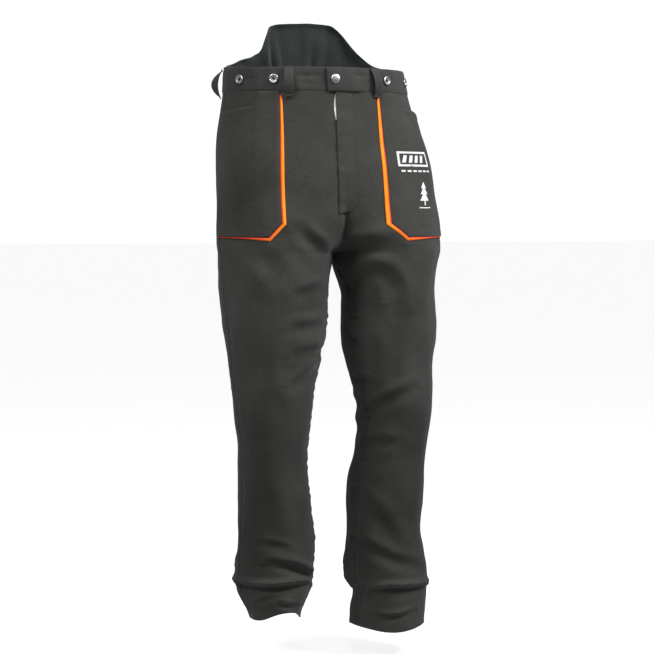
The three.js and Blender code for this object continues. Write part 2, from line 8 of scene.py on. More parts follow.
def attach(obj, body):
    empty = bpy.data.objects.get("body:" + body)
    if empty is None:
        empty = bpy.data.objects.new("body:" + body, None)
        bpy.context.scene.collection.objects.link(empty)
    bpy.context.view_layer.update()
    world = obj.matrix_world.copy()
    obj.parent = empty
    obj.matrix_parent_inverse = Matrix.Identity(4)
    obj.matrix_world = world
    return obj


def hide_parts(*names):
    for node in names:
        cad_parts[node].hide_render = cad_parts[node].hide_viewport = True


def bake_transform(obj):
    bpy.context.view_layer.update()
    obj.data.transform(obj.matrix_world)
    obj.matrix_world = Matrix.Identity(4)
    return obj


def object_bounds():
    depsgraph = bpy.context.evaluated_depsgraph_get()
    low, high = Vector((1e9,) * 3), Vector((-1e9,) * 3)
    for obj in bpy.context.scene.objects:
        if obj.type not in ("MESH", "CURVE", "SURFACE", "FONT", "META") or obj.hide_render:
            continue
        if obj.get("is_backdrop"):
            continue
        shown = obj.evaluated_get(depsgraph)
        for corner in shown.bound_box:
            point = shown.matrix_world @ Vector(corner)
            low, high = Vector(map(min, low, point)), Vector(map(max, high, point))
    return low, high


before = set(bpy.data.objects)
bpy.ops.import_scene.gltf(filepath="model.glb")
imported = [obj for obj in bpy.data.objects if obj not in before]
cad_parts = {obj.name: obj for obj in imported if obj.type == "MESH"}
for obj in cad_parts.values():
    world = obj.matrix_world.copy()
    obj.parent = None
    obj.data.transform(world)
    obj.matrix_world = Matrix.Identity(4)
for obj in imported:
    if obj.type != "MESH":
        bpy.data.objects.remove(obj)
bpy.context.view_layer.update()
mm = 0.001
sides = {"right": -1, "left": 1}
random = np.random.default_rng(7)

# the same body as the frame's
fit = {
    "waistWidth": 340 * mm,
    "waistDepth": 230 * mm,
    "seatWidth": 424 * mm,
    "rise": 335 * mm,
    "outseam": 1045 * mm,
    "hipSway": 32 * mm,
    "flySway": 0.4,
    "kneeDepth": 174 * mm,
    "hemDepth": 146 * mm,
    "kneeDrop": 625 * mm,
    "bandHeight": 43 * mm,
    "bandProud": 1.2 * mm,
    "outseamAngle": math.radians(4),
    "inseamForward": math.radians(23),
    "inseamDrift": 120 * mm,
    "legSplit": -500 * mm,  # the leg's cloth is in two pieces, so that each crosses one joint
}


def shaped(rows):
    # a smooth curve through rows of [place, value, value, ...]
    table = np.array(rows, float)
    places, values = table[:, 0], table[:, 1:]
    last = len(places) - 1

    def at(where):
        where = np.clip(np.atleast_1d(np.asarray(where, float)), places[0], places[-1])
        i = np.clip(np.searchsorted(places, where, side="right") - 1, 0, last - 1)
        before = np.where(i > 0, i - 1, i + 1)
        after = np.where(i < last - 1, i + 2, i)
        step = places[i + 1] - places[i]
        p = ((where - places[i]) / step)[:, None]
        pullBefore = (0.5 * step / (places[i] - places[before]))[:, None]
        pullAfter = (0.5 * step / (places[after] - places[i + 1]))[:, None]
        return (
            values[before] * pullBefore * (-p**3 + 2 * p**2 - p)
            + values[i] * ((1 + pullBefore) * p**3 - (1.5 + 2 * pullBefore) * p**2 + (pullBefore - 0.5) * p + 1)
            + values[i + 1] * ((-1 - pullAfter) * p**3 + (1.5 + pullAfter) * p**2 + 0.5 * p)
            + values[after] * pullAfter * (p**3 - p**2)
        )

    return at


# share of the rise: widening, pinch between the legs, belly, buttocks, sway
trunk = shaped([
    [0, 0, 0, 0, 0, 0],
    [0.13, 0.14, 0, 3 * mm, 4 * mm, 0.1],
    [0.42, 0.66, 0, 7 * mm, 17 * mm, 0.4],
    [0.69, 0.88, 0.2, 7 * mm, 23 * mm, 0.7],
    [0.95, 1, 0.8, 4 * mm, 13 * mm, 0.95],
    [1, 0.98, 1, 1 * mm, 3 * mm, 1],
])
# share of the inseam: width as a share of the crotch's, gap to the middle
legShapes = {
    -1: shaped([
        [0, 1, 0],
        [0.1, 0.955, 9 * mm],
        [0.26, 0.83, 22 * mm],
        [0.42, 0.67, 42 * mm],
        [0.58, 0.62, 47 * mm],
        [0.73, 0.655, 39 * mm],
        [0.87, 0.7, 35 * mm],
        [0.95, 0.6, 43 * mm],
        [1, 0.47, 56 * mm],
    ]),
    1: shaped([
        [0, 1, 0],
        [0.1, 0.84, 23 * mm],
        [0.26, 0.79, 32 * mm],
        [0.42, 0.635, 58 * mm],
        [0.58, 0.65, 44 * mm],
        [0.73, 0.65, 36 * mm],
        [0.87, 0.69, 35 * mm],
        [0.95, 0.64, 40 * mm],
        [1, 0.62, 40 * mm],
    ]),
}
kneeShare = (fit["kneeDrop"] - fit["rise"]) / (fit["outseam"] - fit["rise"])
legDepth = shaped([
    [0, fit["waistDepth"] / 2 + 1 * mm, fit["waistDepth"] / 2 + 3 * mm],
    [0.1, 112 * mm, 112 * mm],
    [0.26, 104 * mm, 98 * mm],
    [kneeShare, 0.54 * fit["kneeDepth"], 0.46 * fit["kneeDepth"]],
    [0.58, 84 * mm, 78 * mm],
    [0.73, 80 * mm, 77 * mm],
    [0.87, 82 * mm, 79 * mm],
    [1, 0.52 * fit["hemDepth"], 0.48 * fit["hemDepth"]],
])


def section(side, z):
    # one half of the body at each height: middle plane, centre, half width, depths, where it meets the other half
    z = np.atleast_1d(np.asarray(z, float))
    widening, pinch, belly, buttocks, sway = trunk(-z / fit["rise"]).T
    pinch = np.clip(pinch, 0, 1)
    halfWidth = (fit["waistWidth"] + (fit["seatWidth"] - fit["waistWidth"]) * widening) / 2
    width = halfWidth / (1 + pinch)
    plane = sway * fit["hipSway"]
    centre = plane + side * width * pinch
    front = fit["waistDepth"] / 2 + belly
    back = fit["waistDepth"] / 2 + buttocks
    end = np.arccos(-pinch)
    share = (-z - fit["rise"]) / (fit["outseam"] - fit["rise"])
    below = share > 0
    slimness, innerGap = legShapes[side](share).T
    legFront, legBack = legDepth(share).T
    crotchWidth = fit["seatWidth"] * 0.98 / 4 + (fit["waistWidth"] * 0.02) / 4
    legWidth = crotchWidth * slimness
    width = np.where(below, legWidth, width)
    centre = np.where(below, fit["hipSway"] + side * (legWidth + innerGap), centre)
    return {
        "plane": np.where(below, fit["hipSway"], plane),
        "centre": centre,
        "width": width,
        "front": np.where(below, legFront, front),
        "back": np.where(below, legBack, back),
        "end": np.where(below, math.pi, end),
    }


def bodyPoint(side, angle, z, lift=0.0):
    # a point on one half, at an angle from the wearer's side round the front
    at = section(side, z)
    depth = np.where(np.sin(angle) > 0, at["front"], at["back"])
    nx, ny = np.cos(angle) / at["width"], -np.sin(angle) / depth
    length = np.hypot(nx, ny)
    x = at["centre"] + side * (at["width"] * np.cos(angle) + lift * nx / length)
    y = -depth * np.sin(angle) + lift * ny / length
    return np.stack([x, y, z + 0 * x], axis=-1)


def smooth(value, low, high):
    t = np.clip((value - low) / (high - low), 0, 1)
    return t * t * (3 - 2 * t)


def arch(share):
    # rises from 0 to 1 in the middle and falls back to 0
    return np.sin(math.pi * np.clip(share, 0, 1))


def bell(away, width):
    return np.exp(-((away / width) ** 2))


def inseamAngle(z):
    return math.pi - fit["inseamForward"] * smooth(-z - fit["rise"], 0, fit["inseamDrift"])


def panelAngle(side, facing, z, share):
    end = section(side, z)["end"]
    below = -z > fit["rise"]
    if facing == "front":
        inner = np.where(below, inseamAngle(z), end)
    else:
        inner = np.where(below, inseamAngle(z) - 2 * math.pi, -end)
    return fit["outseamAngle"] + (inner - fit["outseamAngle"]) * share


def hoopPoint(angle, z, lift=0.0):
    # on the whole waist, at an angle from the centre front towards the wearer's left
    angle = np.asarray(angle, float)
    right = bodyPoint(-1, math.pi / 2 - np.abs(angle), z, lift)
    left = bodyPoint(1, math.pi / 2 - np.abs(angle), z, lift)
    return np.where((angle < 0)[..., None], right, left)


def frontPoint(x, z, lift=0.0):
    # on the front, at a place across it
    plane = section(1, z)["plane"]
    made = []
    for side in (-1, 1):
        at = section(side, z)
        angle = np.arccos(np.clip(side * (x - at["centre"]) / at["width"], -1, 1))
        made.append(bodyPoint(side, angle, z, lift))
    return np.where((x < plane)[..., None], made[0], made[1])


ripples = {
    "lengths": [150 * mm, 95 * mm, 60 * mm, 34 * mm, 20 * mm],
    "heights": [2.0 * mm, 1.3 * mm, 0.7 * mm, 0.3 * mm, 0.12 * mm],
    "wavesEach": 9,
}
rippleWaves = []
for rippleLength, rippleHeight in zip(ripples["lengths"], ripples["heights"]):
    for wave in range(ripples["wavesEach"]):
        direction = random.normal(size=3) * np.array([1, 1, 0.75])
        direction *= 2 * math.pi / rippleLength / np.linalg.norm(direction)
        phase = random.uniform(0, 2 * math.pi)
        rippleWaves.append((direction, phase, rippleHeight / math.sqrt(ripples["wavesEach"])))

# each crease is (side, width in mm, depth in mm, lip, path), pressed in along a path of (degrees round the leg
# from the wearer's side, height in mm); lip says how much further the cloth above it hangs over
creases = [
    # drawn towards the crotch
    (-1, 15, 5.5, 0.3, [(84, -296), (99, -316), (116, -330)]),
    (-1, 13, 4, 0.3, [(96, -413), (112, -406), (134, -396)]),
    (-1, 14, 4.5, 0.3, [(92, -474), (117, -472), (150, -468)]),
    (-1, 13, 4, 0.3, [(98, -522), (122, -517), (165, -517)]),
    (-1, 14, 4.5, 0.3, [(98, -578), (118, -565), (142, -552)]),
    (-1, 22, 2.5, 0, [(40, -330), (64, -352), (84, -392)]),
    (1, 19, 6, 0.4, [(156, -330), (124, -325), (98, -321)]),
    (1, 19, 6, 0.2, [(156, -398), (130, -376), (114, -378), (106, -403), (104, -446)]),
    (1, 24, 3.5, 0, [(104, -450), (108, -500), (116, -548)]),
    (1, 14, 5, 0.4, [(150, -632), (114, -607), (84, -588)]),
    (1, 13, 3.5, 0.3, [(160, -694), (135, -690), (104, -691)]),
    (1, 13, 4, 0.3, [(176, -480), (162, -500), (150, -512)]),
    (1, 12, 4, 0.3, [(178, -575), (160, -572), (144, -580)]),
    # behind the seat, the thighs and the knees
    (1, 16, 5, 0.3, [(-160, -350), (-120, -372), (-70, -366)]),
    (-1, 16, 5, 0.3, [(-160, -352), (-120, -378), (-66, -370)]),
    (-1, 18, 4, 0.3, [(-150, -400), (-105, -420), (-80, -424)]),
    (1, 18, 4, 0.3, [(-150, -404), (-100, -430), (-74, -436)]),
    (-1, 15, 5, 0.3, [(-60, -640), (-120, -632), (-165, -620)]),
    (-1, 14, 4, 0.3, [(-40, -600), (-100, -596), (-150, -584)]),
    (-1, 14, 4, 0.3, [(-50, -690), (-110, -672), (-160, -668)]),
    (1, 15, 5, 0.3, [(-60, -644), (-120, -632), (-165, -626)]),
    (1, 14, 4, 0.3, [(-40, -604), (-100, -592), (-150, -588)]),
    (1, 14, 4, 0.3, [(-50, -694), (-110, -678), (-160, -672)]),
    # long dents down the lower legs
    (-1, 22, 2.6, 0, [(112, -700), (104, -780), (112, -860)]),
    (1, 20, 4.5, 0.2, [(156, -796), (134, -817), (118, -838), (92, -880)]),
    (1, 20, 2.4, 0, [(62, -720), (70, -800), (58, -870)]),
    # the hems break where they would meet the boots
    (-1, 9, 3, 0.4, [(48, -869), (68, -871), (88, -878)]),
    (-1, 11, 8, 0.5, [(66, -905), (96, -913), (120, -928), (142, -942)]),
    (-1, 8, 7.5, 0.7, [(-14, -956), (30, -952), (69, -949), (112, -946), (140, -957)]),
    (-1, 7, 3, 0.3, [(38, -981), (60, -970), (82, -966)]),
    (-1, 7, 4, 0.3, [(72, -978), (87, -982), (104, -986)]),
    (-1, 11, 6, 0.5, [(-20, -960), (-90, -946), (-160, -962)]),
    (-1, 12, 4.5, 0.4, [(-30, -922), (-100, -932), (-150, -920)]),
    (1, 14, 5.5, 0.3, [(158, -878), (124, -895), (92, -914), (50, -930)]),
    (1, 8, 8, 0.7, [(130, -971), (98, -964), (66, -966), (24, -971)]),
    (1, 7, 4, 0.5, [(124, -1018), (94, -1018), (58, -1010)]),
    (1, 11, 6, 0.5, [(-20, -976), (-90, -962), (-160, -976)]),
    (1, 12, 4.5, 0.4, [(-30, -934), (-100, -945), (-150, -932)]),
]
creaseSteps = np.linspace(0, 1, 71)


def creasePath(side, path):
    # the path's points on the body, filled in to a smooth line
    smoothed = shaped(np.column_stack([np.linspace(0, 1, len(path)), path]))(creaseSteps)
    return bodyPoint(side, np.radians(smoothed[:, 0]), smoothed[:, 1] * mm)


creaseLines = [(width, depth, lip, creasePath(side, path)) for side, width, depth, lip, path in creases]


def drapeOf(points):
    # how far the cloth stands out of its plain shape at points on it
    height = np.zeros(len(points))
    for direction, phase, size in rippleWaves:
        height += size * np.sin(points @ direction + phase)
    height *= 0.25 + 0.75 * smooth(-points[:, 2], 0.03, 0.36)
    for width, depth, lip, line in creaseLines:
        reach = 3.2 * width * mm  # beyond this the crease leaves the cloth alone
        near = np.all((points > line.min(0) - reach) & (points < line.max(0) + reach), axis=1)
        if not near.any():
            continue
        apart = np.linalg.norm(points[near][:, None, :] - line[None, :, :], axis=2)
        closest = apart.argmin(axis=1)
        away = apart.min(axis=1) / (width * mm)
        fade = arch(creaseSteps[closest] * 0.86 + 0.07) ** 0.7
        above = np.sign(points[near][:, 2] - line[closest, 2])
        valley = -np.exp(-(away**2) * 1.6)
        shoulder = (0.5 + lip * above) * np.exp(-((away - 1.35) ** 2) * 2.2)
        height[near] += depth * mm * fade * (valley + shoulder)
    return height


# heights down the legs, in metres
hems = {"drawnFrom": 0.955, "drawnTo": 1.008, "flareFrom": 0.86, "flareTo": 0.98, "waist": 0.985,
        "waistReach": 22 * mm}


def gathered(side, angle, z):
    # the hems are drawn in or flare where the boots would be
    if side < 0:
        reach = smooth(-z, hems["drawnFrom"], hems["drawnTo"])
        return -reach * mm * (3 + 5 * np.abs(np.cos(angle)) + 9 * np.clip(-np.cos(angle), 0, 1))
    waist = bell(z + hems["waist"], hems["waistReach"])
    flare = smooth(-z, hems["flareFrom"], hems["flareTo"]) * np.clip(np.cos(angle), 0, 1) ** 2
    return mm * (12 * flare - 13 * waist * np.clip(-np.cos(angle), 0, 1) ** 2)


def puckered(side, angle, z):
    # cloth drawn up along the outseam and the inseam
    width = section(side, z)["width"]
    made = 0
    for seam, depth in ((fit["outseamAngle"], 1.1), (inseamAngle(z), 1.5)):
        apart = np.angle(np.exp(1j * (angle - seam))) * width
        waves = np.sin(z * 290 + 2 * np.sin(z * 41)) + 0.6 * np.sin(z * 470 + 1)
        drawn = bell(apart, 13 * mm) * waves * 0.5 - 0.9 * bell(apart, 3 * mm)
        made = made + depth * mm * drawn
    made = made * smooth(-z, 0.10, 0.30)
    # the seam between the legs pulls in under the fly
    at = section(side, z)
    across = at["centre"] + side * at["width"] * np.cos(angle) - at["plane"]
    pulled = smooth(-z, 0.215, 0.27) * (1 - smooth(-z, 0.335, 0.36)) * (np.sin(angle) > 0)
    return made - 3.5 * mm * pulled * bell(across, 6 * mm)


def clothPoint(side, angle, z, lift=0.0, share=1.0):
    # a point on the worn cloth, creases and all
    angle = angle + 0 * z
    plain = bodyPoint(side, angle, z)
    worn = drapeOf(plain) + gathered(side, angle, z) + puckered(side, angle, z)
    return bodyPoint(side, angle, z, lift + share * worn)


def deselect():
    bpy.ops.object.select_all(action="DESELECT")


def makeActive(obj):
    deselect()
    obj.select_set(True)
    bpy.context.view_layer.objects.active = obj


def finishWith(obj, kind, **settings):
    makeActive(obj)
    modifier = obj.modifiers.new(kind, kind)
    for name, value in settings.items():
        setattr(modifier, name, value)
    bpy.ops.object.modifier_apply(modifier=modifier.name)


def faceOut(obj):
    # every face of a closed shell turned out
    makeActive(obj)
    bpy.ops.object.mode_set(mode="EDIT")
    bpy.ops.mesh.select_all(action="SELECT")
    bpy.ops.mesh.normals_make_consistent(inside=False)
    bpy.ops.object.mode_set(mode="OBJECT")


def bevel(obj, width, segments, degrees):
    turn = math.radians(degrees)
    finishWith(obj, "BEVEL", width=width, segments=segments, limit_method="ANGLE", angle_limit=turn)


def smoothFaces(obj, degrees=38):
    makeActive(obj)
    bpy.ops.object.shade_smooth_by_angle(angle=math.radians(degrees))


def coordinates(obj):
    flat = np.empty(len(obj.data.vertices) * 3)
    obj.data.vertices.foreach_get("co", flat)
    return flat.reshape(-1, 3)


def moveTo(obj, points):
    obj.data.vertices.foreach_set("co", np.ascontiguousarray(points, dtype=float).ravel())
    obj.data.update()


def clothPiece(name, columns, rows, place, size, thick, outward, look, inward=True):
    # a flat grid of cloth laid over the body by place(u, v), then given its thickness
    deselect()
    bpy.ops.mesh.primitive_grid_add(x_subdivisions=columns, y_subdivisions=rows, size=1)
    obj = bpy.context.object
    obj.name = obj.data.name = name
    plain = coordinates(obj)
    u, v = plain[:, 0] + 0.5, plain[:, 1] + 0.5
    moveTo(obj, place(u, v))
    uv = obj.data.uv_layers[0]
    corners = np.empty(len(uv.data) * 2)
    uv.data.foreach_get("uv", corners)
    uv.data.foreach_set("uv", (corners.reshape(-1, 2) * np.array(size)).ravel())
    middle = obj.data.polygons[len(obj.data.polygons) // 2]
    if middle.normal.dot(Vector(outward(middle.center))) < 0:
        obj.data.flip_normals()
    finishWith(obj, "SOLIDIFY", thickness=thick, offset=-1 if inward else 1, use_rim=True)
    smoothFaces(obj)
    obj.data.materials.append(look)
    return obj


def awayFromLeg(side):
    def direction(point):
        at = section(side, np.array([point[2]]))
        return (point[0] - at["centre"][0], point[1], 0)

    return direction


def awayFromWaist(point):
    return (point[0], point[1], 0)


def forwards(point):
    return (0, -1, 0)


class Sum:
    # a socket, or a number, that adds Math nodes when it is reckoned with
    def __init__(self, nodes, socket):
        self.nodes, self.socket = nodes, socket

    def reckon(self, operation, first, second):
        return self.nodes.add("ShaderNodeMath", {"operation": operation}, {0: first, 1: second})

    def __add__(self, other):
        return self.reckon("ADD", self, other)

    def __radd__(self, other):
        return self.reckon("ADD", other, self)

    def __rsub__(self, other):
        return self.reckon("SUBTRACT", other, self)

    def __mul__(self, other):
        return self.reckon("MULTIPLY", self, other)

    def __truediv__(self, other):
        return self.reckon("DIVIDE", self, other)

    def __gt__(self, other):
        return self.reckon("GREATER_THAN", self, other)


sheenRoughness = 0.45
bandsPerScale = 2 / 6.283  # bands in one unit of length at a wave node's scale of 1


class Look:
    # one material being built
    def __init__(self, name, roughness=0.85, metallic=0.0, sheen=0.0, sheenTint=None, specular=0.5):
        self.material = bpy.data.materials.new(name)
        self.material.use_nodes = True
        self.tree = self.material.node_tree
        self.shader = self.tree.nodes["Principled BSDF"]
        self.shader.inputs["Roughness"].default_value = roughness
        self.shader.inputs["Metallic"].default_value = metallic
        self.shader.inputs["Sheen Weight"].default_value = sheen
        self.shader.inputs["Sheen Roughness"].default_value = sheenRoughness
        self.shader.inputs["Specular IOR Level"].default_value = specular
        if sheenTint:
            self.shader.inputs["Sheen Tint"].default_value = (*sheenTint, 1)

    def add(self, kind, settings=None, values=None, out=0):
        node = self.tree.nodes.new(kind)
        for name, value in (settings or {}).items():
            if name == "stops":
                self.setStops(node, value)
            else:
                setattr(node, name, value)
        for name, value in (values or {}).items():
            self.feed(node.inputs[name], value)
        return Sum(self, node.outputs[out])

    def setStops(self, node, stops):
        ramp = node.color_ramp
        while len(ramp.elements) < len(stops):
            ramp.elements.new(0.5)
        for element, (place, shade) in zip(ramp.elements, stops):
            element.position = place
            element.color = (*shade, 1) if isinstance(shade, tuple) else (shade, shade, shade, 1)

    def feed(self, socket, value):
        if isinstance(value, Sum):
            self.tree.links.new(value.socket, socket)
        elif isinstance(value, tuple) and len(value) == 3 and socket.type == "RGBA":
            socket.default_value = (*value, 1)
        else:
            socket.default_value = value

    def place(self, which="Object", scale=(1, 1, 1), turn=(0, 0, 0)):
        coordinate = self.add("ShaderNodeTexCoord", out=which)
        return self.add("ShaderNodeMapping", values={"Vector": coordinate, "Scale": scale, "Rotation": turn})

    def along(self, which, axis):
        return self.add("ShaderNodeSeparateXYZ", values={"Vector": self.place(which)}, out=axis)

    def noise(self, scale, detail=3, rough=0.55, on="Object", stretch=(1, 1, 1)):
        values = {"Vector": self.place(on, stretch), "Scale": scale, "Detail": detail, "Roughness": rough}
        return self.add("ShaderNodeTexNoise", values=values)

    def wave(self, spacing, distortion=0.0, on="UV", direction="X", turn=0.0):
        settings = {"wave_type": "BANDS", "bands_direction": direction, "wave_profile": "SIN"}
        vector = self.place(on, turn=(0, 0, math.radians(turn)))
        values = {"Vector": vector, "Scale": bandsPerScale / spacing, "Distortion": distortion}
        return self.add("ShaderNodeTexWave", settings, values, out="Fac")

    def ramp(self, value, stops):
        return self.add("ShaderNodeValToRGB", {"stops": stops}, {"Fac": value})

    def mixColour(self, factor, first, second):
        settings = {"data_type": "RGBA", "blend_type": "MIX"}
        return self.add("ShaderNodeMix", settings, {0: factor, 6: first, 7: second}, out=2)

    def colour(self, value):
        self.feed(self.shader.inputs["Base Color"], value)

    def roughness(self, value):
        self.feed(self.shader.inputs["Roughness"], value)

    def bump(self, height, distance, strength=1.0):
        values = {"Height": height, "Distance": distance, "Strength": strength}
        self.feed(self.shader.inputs["Normal"], self.add("ShaderNodeBump", values=values, out="Normal"))


def twillLook(name, dark, light):
    # hard-wearing polyester and cotton twill: steep diagonal ribs, mottled yarns, a little lint
    look = Look(name, roughness=0.86, sheen=0.12, sheenTint=(0.8, 0.85, 0.9), specular=0.25)
    ribs = look.wave(0.9 * mm, 0.6, turn=62)
    yarn = look.noise(1, 2, on="UV", stretch=(900, 120, 1))
    mottle = look.noise(9, 4)
    fine = look.noise(240, 3, 0.7)
    lint = look.noise(1400, 1, on="UV") > 0.79
    shade = mottle * 0.45 + fine * 0.25 + yarn * 0.3
    base = look.ramp(shade, [(0.36, dark), (0.62, light)])
    flecked = look.mixColour(lint * 0.18, base, (0.35, 0.35, 0.33))
    # painted shade: the cloth is painted darker between the knee and the hem, standing in for the light falling
    # off towards the floor
    height = look.along("Object", "Z")
    paintedLegShade = look.ramp(height * -1, [(0.56, 0.0), (0.70, 1.0), (0.90, 1.0), (0.96, 0.1)])
    # the painted shade's dark colour mixed over the cloth
    paintedLegShadeMixed = look.mixColour(paintedLegShade * 0.42, flecked, tuple(c * 0.35 for c in dark))
    look.colour(look.mixColour(ribs * 0.16, paintedLegShadeMixed, tuple(c * 0.45 for c in dark)))
    look.roughness(0.8 + fine * 0.14)
    look.bump(ribs * 0.6 + yarn * 0.3 + fine * 0.5, 0.25 * mm, 0.7)
    return look.material


def knitLook():
    # ribbed stretch knit, near black with a green cast
    look = Look("stretchKnit", roughness=0.95, sheen=0.35, sheenTint=(0.7, 0.8, 0.78), specular=0.15)
    ribs = look.wave(2.2 * mm, 0.3)
    stitches = look.wave(1.3 * mm, 0.3, direction="Y")
    fuzz = look.noise(420, 4, 0.7)
    patchy = look.noise(14, 3)
    shade = fuzz * 0.5 + patchy * 0.5
    greens = [(0.32, (0.012, 0.015, 0.0135)), (0.7, (0.036, 0.042, 0.038))]
    look.colour(look.ramp(shade * 0.8 + ribs * 0.12, greens))
    look.roughness(0.88 + fuzz * 0.1)
    look.bump(ribs * 0.7 + stitches * 0.3 + fuzz * 0.6, 0.4 * mm, 0.7)
    return look.material


def pipingLook():
    # fluorescent orange tape: its crown drifts yellower, partly a painted highlight, and it is painted red as
    # painted shade where it turns under, along the pocket's foot and at its tip
    look = Look("signalTape", roughness=0.6, sheen=0.1, specular=0.3)
    along = look.along("UV", "X")
    across = look.along("UV", "Y")
    weave = look.wave(0.8 * mm)
    drift = look.noise(60, 3)
    # painted shade: red across the tape's edges, where it turns under
    side = look.ramp(across, [(0.0, 1.0), (0.24, 0.85), (0.42, 0.12), (0.84, 0.0), (1.0, 0.8)])
    # painted shade: red along the pocket's foot and at the tip
    end = look.ramp(along / 0.4, [(0.0, 1.0), (0.04, 0.35), (0.12, 0.0), (0.56, 0.0), (0.66, 0.45), (0.8, 1.0)])
    # the crown's orange drifts towards yellow, partly a painted highlight
    crown = look.mixColour(drift, (1.0, 0.42, 0.006), (1.0, 0.27, 0.006))
    look.colour(look.mixColour(1 - (1 - side) * (1 - end), crown, (0.86, 0.045, 0.012)))
    look.roughness(0.52 + drift * 0.16)
    look.bump(weave + drift * 0.5, 0.15 * mm, 0.5)
    return look.material


def padLook():
    look = Look("padFibre", roughness=0.95, sheen=0.3, specular=0.15)
    loops = look.wave(1.8 * mm, 1.2)
    courses = look.wave(2.6 * mm, 1.0, direction="Y")
    soft = look.noise(120, 4, 0.7)
    look.colour(look.ramp(soft * 0.7 + loops * 0.3, [(0.3, (0.5, 0.48, 0.42)), (0.7, (0.78, 0.76, 0.7))]))
    look.roughness(0.88 + soft * 0.1)
    look.bump(loops * 0.5 + courses * 0.5 + soft * 0.4, 0.5 * mm, 0.8)
    return look.material


def tapeLook():
    look = Look("zipTape", roughness=0.7, specular=0.35)
    ribs = look.wave(0.9 * mm, on="Object")
    grain = look.noise(700, 2)
    look.colour(look.ramp(grain, [(0.3, (0.62, 0.63, 0.62)), (0.7, (0.8, 0.81, 0.8))]))
    look.roughness(0.6 + grain * 0.2)
    look.bump(ribs + grain * 0.4, 0.12 * mm, 0.7)
    return look.material


def printLook():
    # rubbery white ink, a little worn where the twill's ribs stand up
    look = Look("whiteInk", roughness=0.5, specular=0.4)
    wear = look.noise(900, 2)
    look.colour(look.ramp(wear, [(0.25, (0.55, 0.56, 0.56)), (0.5, (0.82, 0.83, 0.83))]))
    look.roughness(0.42 + wear * 0.2)
    look.bump(wear, 0.08 * mm, 0.6)
    return look.material


def nickelLook(name, bright, worn):
    look = Look(name, roughness=0.28, metallic=1.0)
    scuffs = look.noise(380, 4, 0.65, stretch=(1, 1, 4))
    tarnish = look.noise(130, 3)
    look.colour(look.mixColour(look.ramp(tarnish, [(0.42, 0.0), (0.68, 1.0)]), bright, worn))
    look.roughness(0.2 + scuffs * 0.25)
    look.bump(scuffs, 0.04 * mm, 0.5)
    return look.material


def threadLook():
    look = Look("thread", roughness=0.6, sheen=0.2, specular=0.4)
    twist = look.noise(1500, 2)
    look.colour(look.ramp(twist, [(0.3, (0.04, 0.04, 0.038)), (0.7, (0.085, 0.085, 0.082))]))
    look.roughness(0.5 + twist * 0.2)
    look.bump(twist, 0.05 * mm, 0.6)
    return look.material


looks = {
    "shell": twillLook("shellTwill", (0.030, 0.0295, 0.0265), (0.060, 0.0595, 0.0545)),
    "band": twillLook("bandTwill", (0.028, 0.028, 0.026), (0.056, 0.056, 0.053)),
    "knit": knitLook(),
    "piping": pipingLook(),
    "pad": padLook(),
    "tape": tapeLook(),
    "print": printLook(),
    "nickel": nickelLook("nickelPlate", (0.62, 0.63, 0.64), (0.42, 0.42, 0.42)),
    "darkMetal": nickelLook("darkRivet", (0.05, 0.045, 0.042), (0.022, 0.02, 0.02)),
    "thread": threadLook(),
}
print("looks made")

# each leg's shell cloth is a front and a back, both in an upper and a lower piece
leg = {
    "middleLap": 0.6 * mm,
    # the widest run across each flat piece
    "upperFlat": {"front": 0.345, "back": 0.38},
    "lowerFlat": {"front": 0.265, "back": 0.35},
    "columns": 112,
    "cell": 3 * mm,
    "thick": 1.2 * mm,
    "hipBend": (-335 * mm, -492 * mm),  # the cloth takes the hip's turn between these heights
    "kneeBend": (-520 * mm, -735 * mm),
    "girth": 3.1,  # once round a leg's half, for a half width of 1
    "halfWidth": 100 * mm,
    "closeOver": 30 * mm,
    "closeReach": 12 * mm,
    "seamLap": 2.5 * mm,
}


def hemLine(side, angle):
    # the right hem is caught up in the middle of its front
    if side < 0:
        return -1.017 + 0.021 * np.clip(np.sin(angle), 0, 1) ** 4
    return -1.041 - 0.004 * np.clip(np.sin(angle), 0, 1) + 0.002 * np.sin(3 * angle)


def legCloth(name, side, facing, top, bottom, upper):
    length = abs(top - bottom)
    rows = int(length / leg["cell"])

    def place(u, v):
        z = top + (bottom - top) * (1 - v)
        angle = panelAngle(side, facing, z, u)
        if not upper:
            stretch = (hemLine(side, angle) - top) / (bottom - top)
            z = top + (z - top) * (1 + (stretch - 1) * smooth(1 - v, 0.5, 1))
            angle = panelAngle(side, facing, z, u)
        at = section(side, z)
        width = at["width"]
        fromSeam = u * leg["girth"] * width
        sign = 1 if facing == "back" else -1
        lift = sign * 0.9 * mm * bell(fromSeam, 4 * mm)
        if facing == "back":
            angle = angle + leg["seamLap"] / width * bell(fromSeam, 6 * mm)
        points = clothPoint(side, angle, z, lift)
        # right and left meet along the middle, in front and behind
        edge = clothPoint(side, panelAngle(side, facing, z, 1), z, lift)
        gap = at["plane"] - side * leg["middleLap"] - edge[..., 0]
        closed = gap * (1 - smooth(-z, fit["rise"], fit["rise"] + leg["closeOver"]))
        points[..., 0] += closed * bell((1 - u) * leg["girth"] * width, leg["closeReach"])
        return points

    size = (leg["girth"] * leg["halfWidth"], length)
    return clothPiece(name, leg["columns"], rows, place, size, leg["thick"], awayFromLeg(side),
                      looks["shell"])


def areaOf(obj):
    # one face of the cloth
    areas = np.empty(len(obj.data.polygons))
    obj.data.polygons.foreach_get("area", areas)
    return areas.sum() / 2


def bendAtHip(obj):
    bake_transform(obj)


def bendAtKnee(obj):
    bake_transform(obj)


def declareCloth(obj, width, length):
    area = min(areaOf(obj), width * length)
    max(area, 0.31 * width * length)


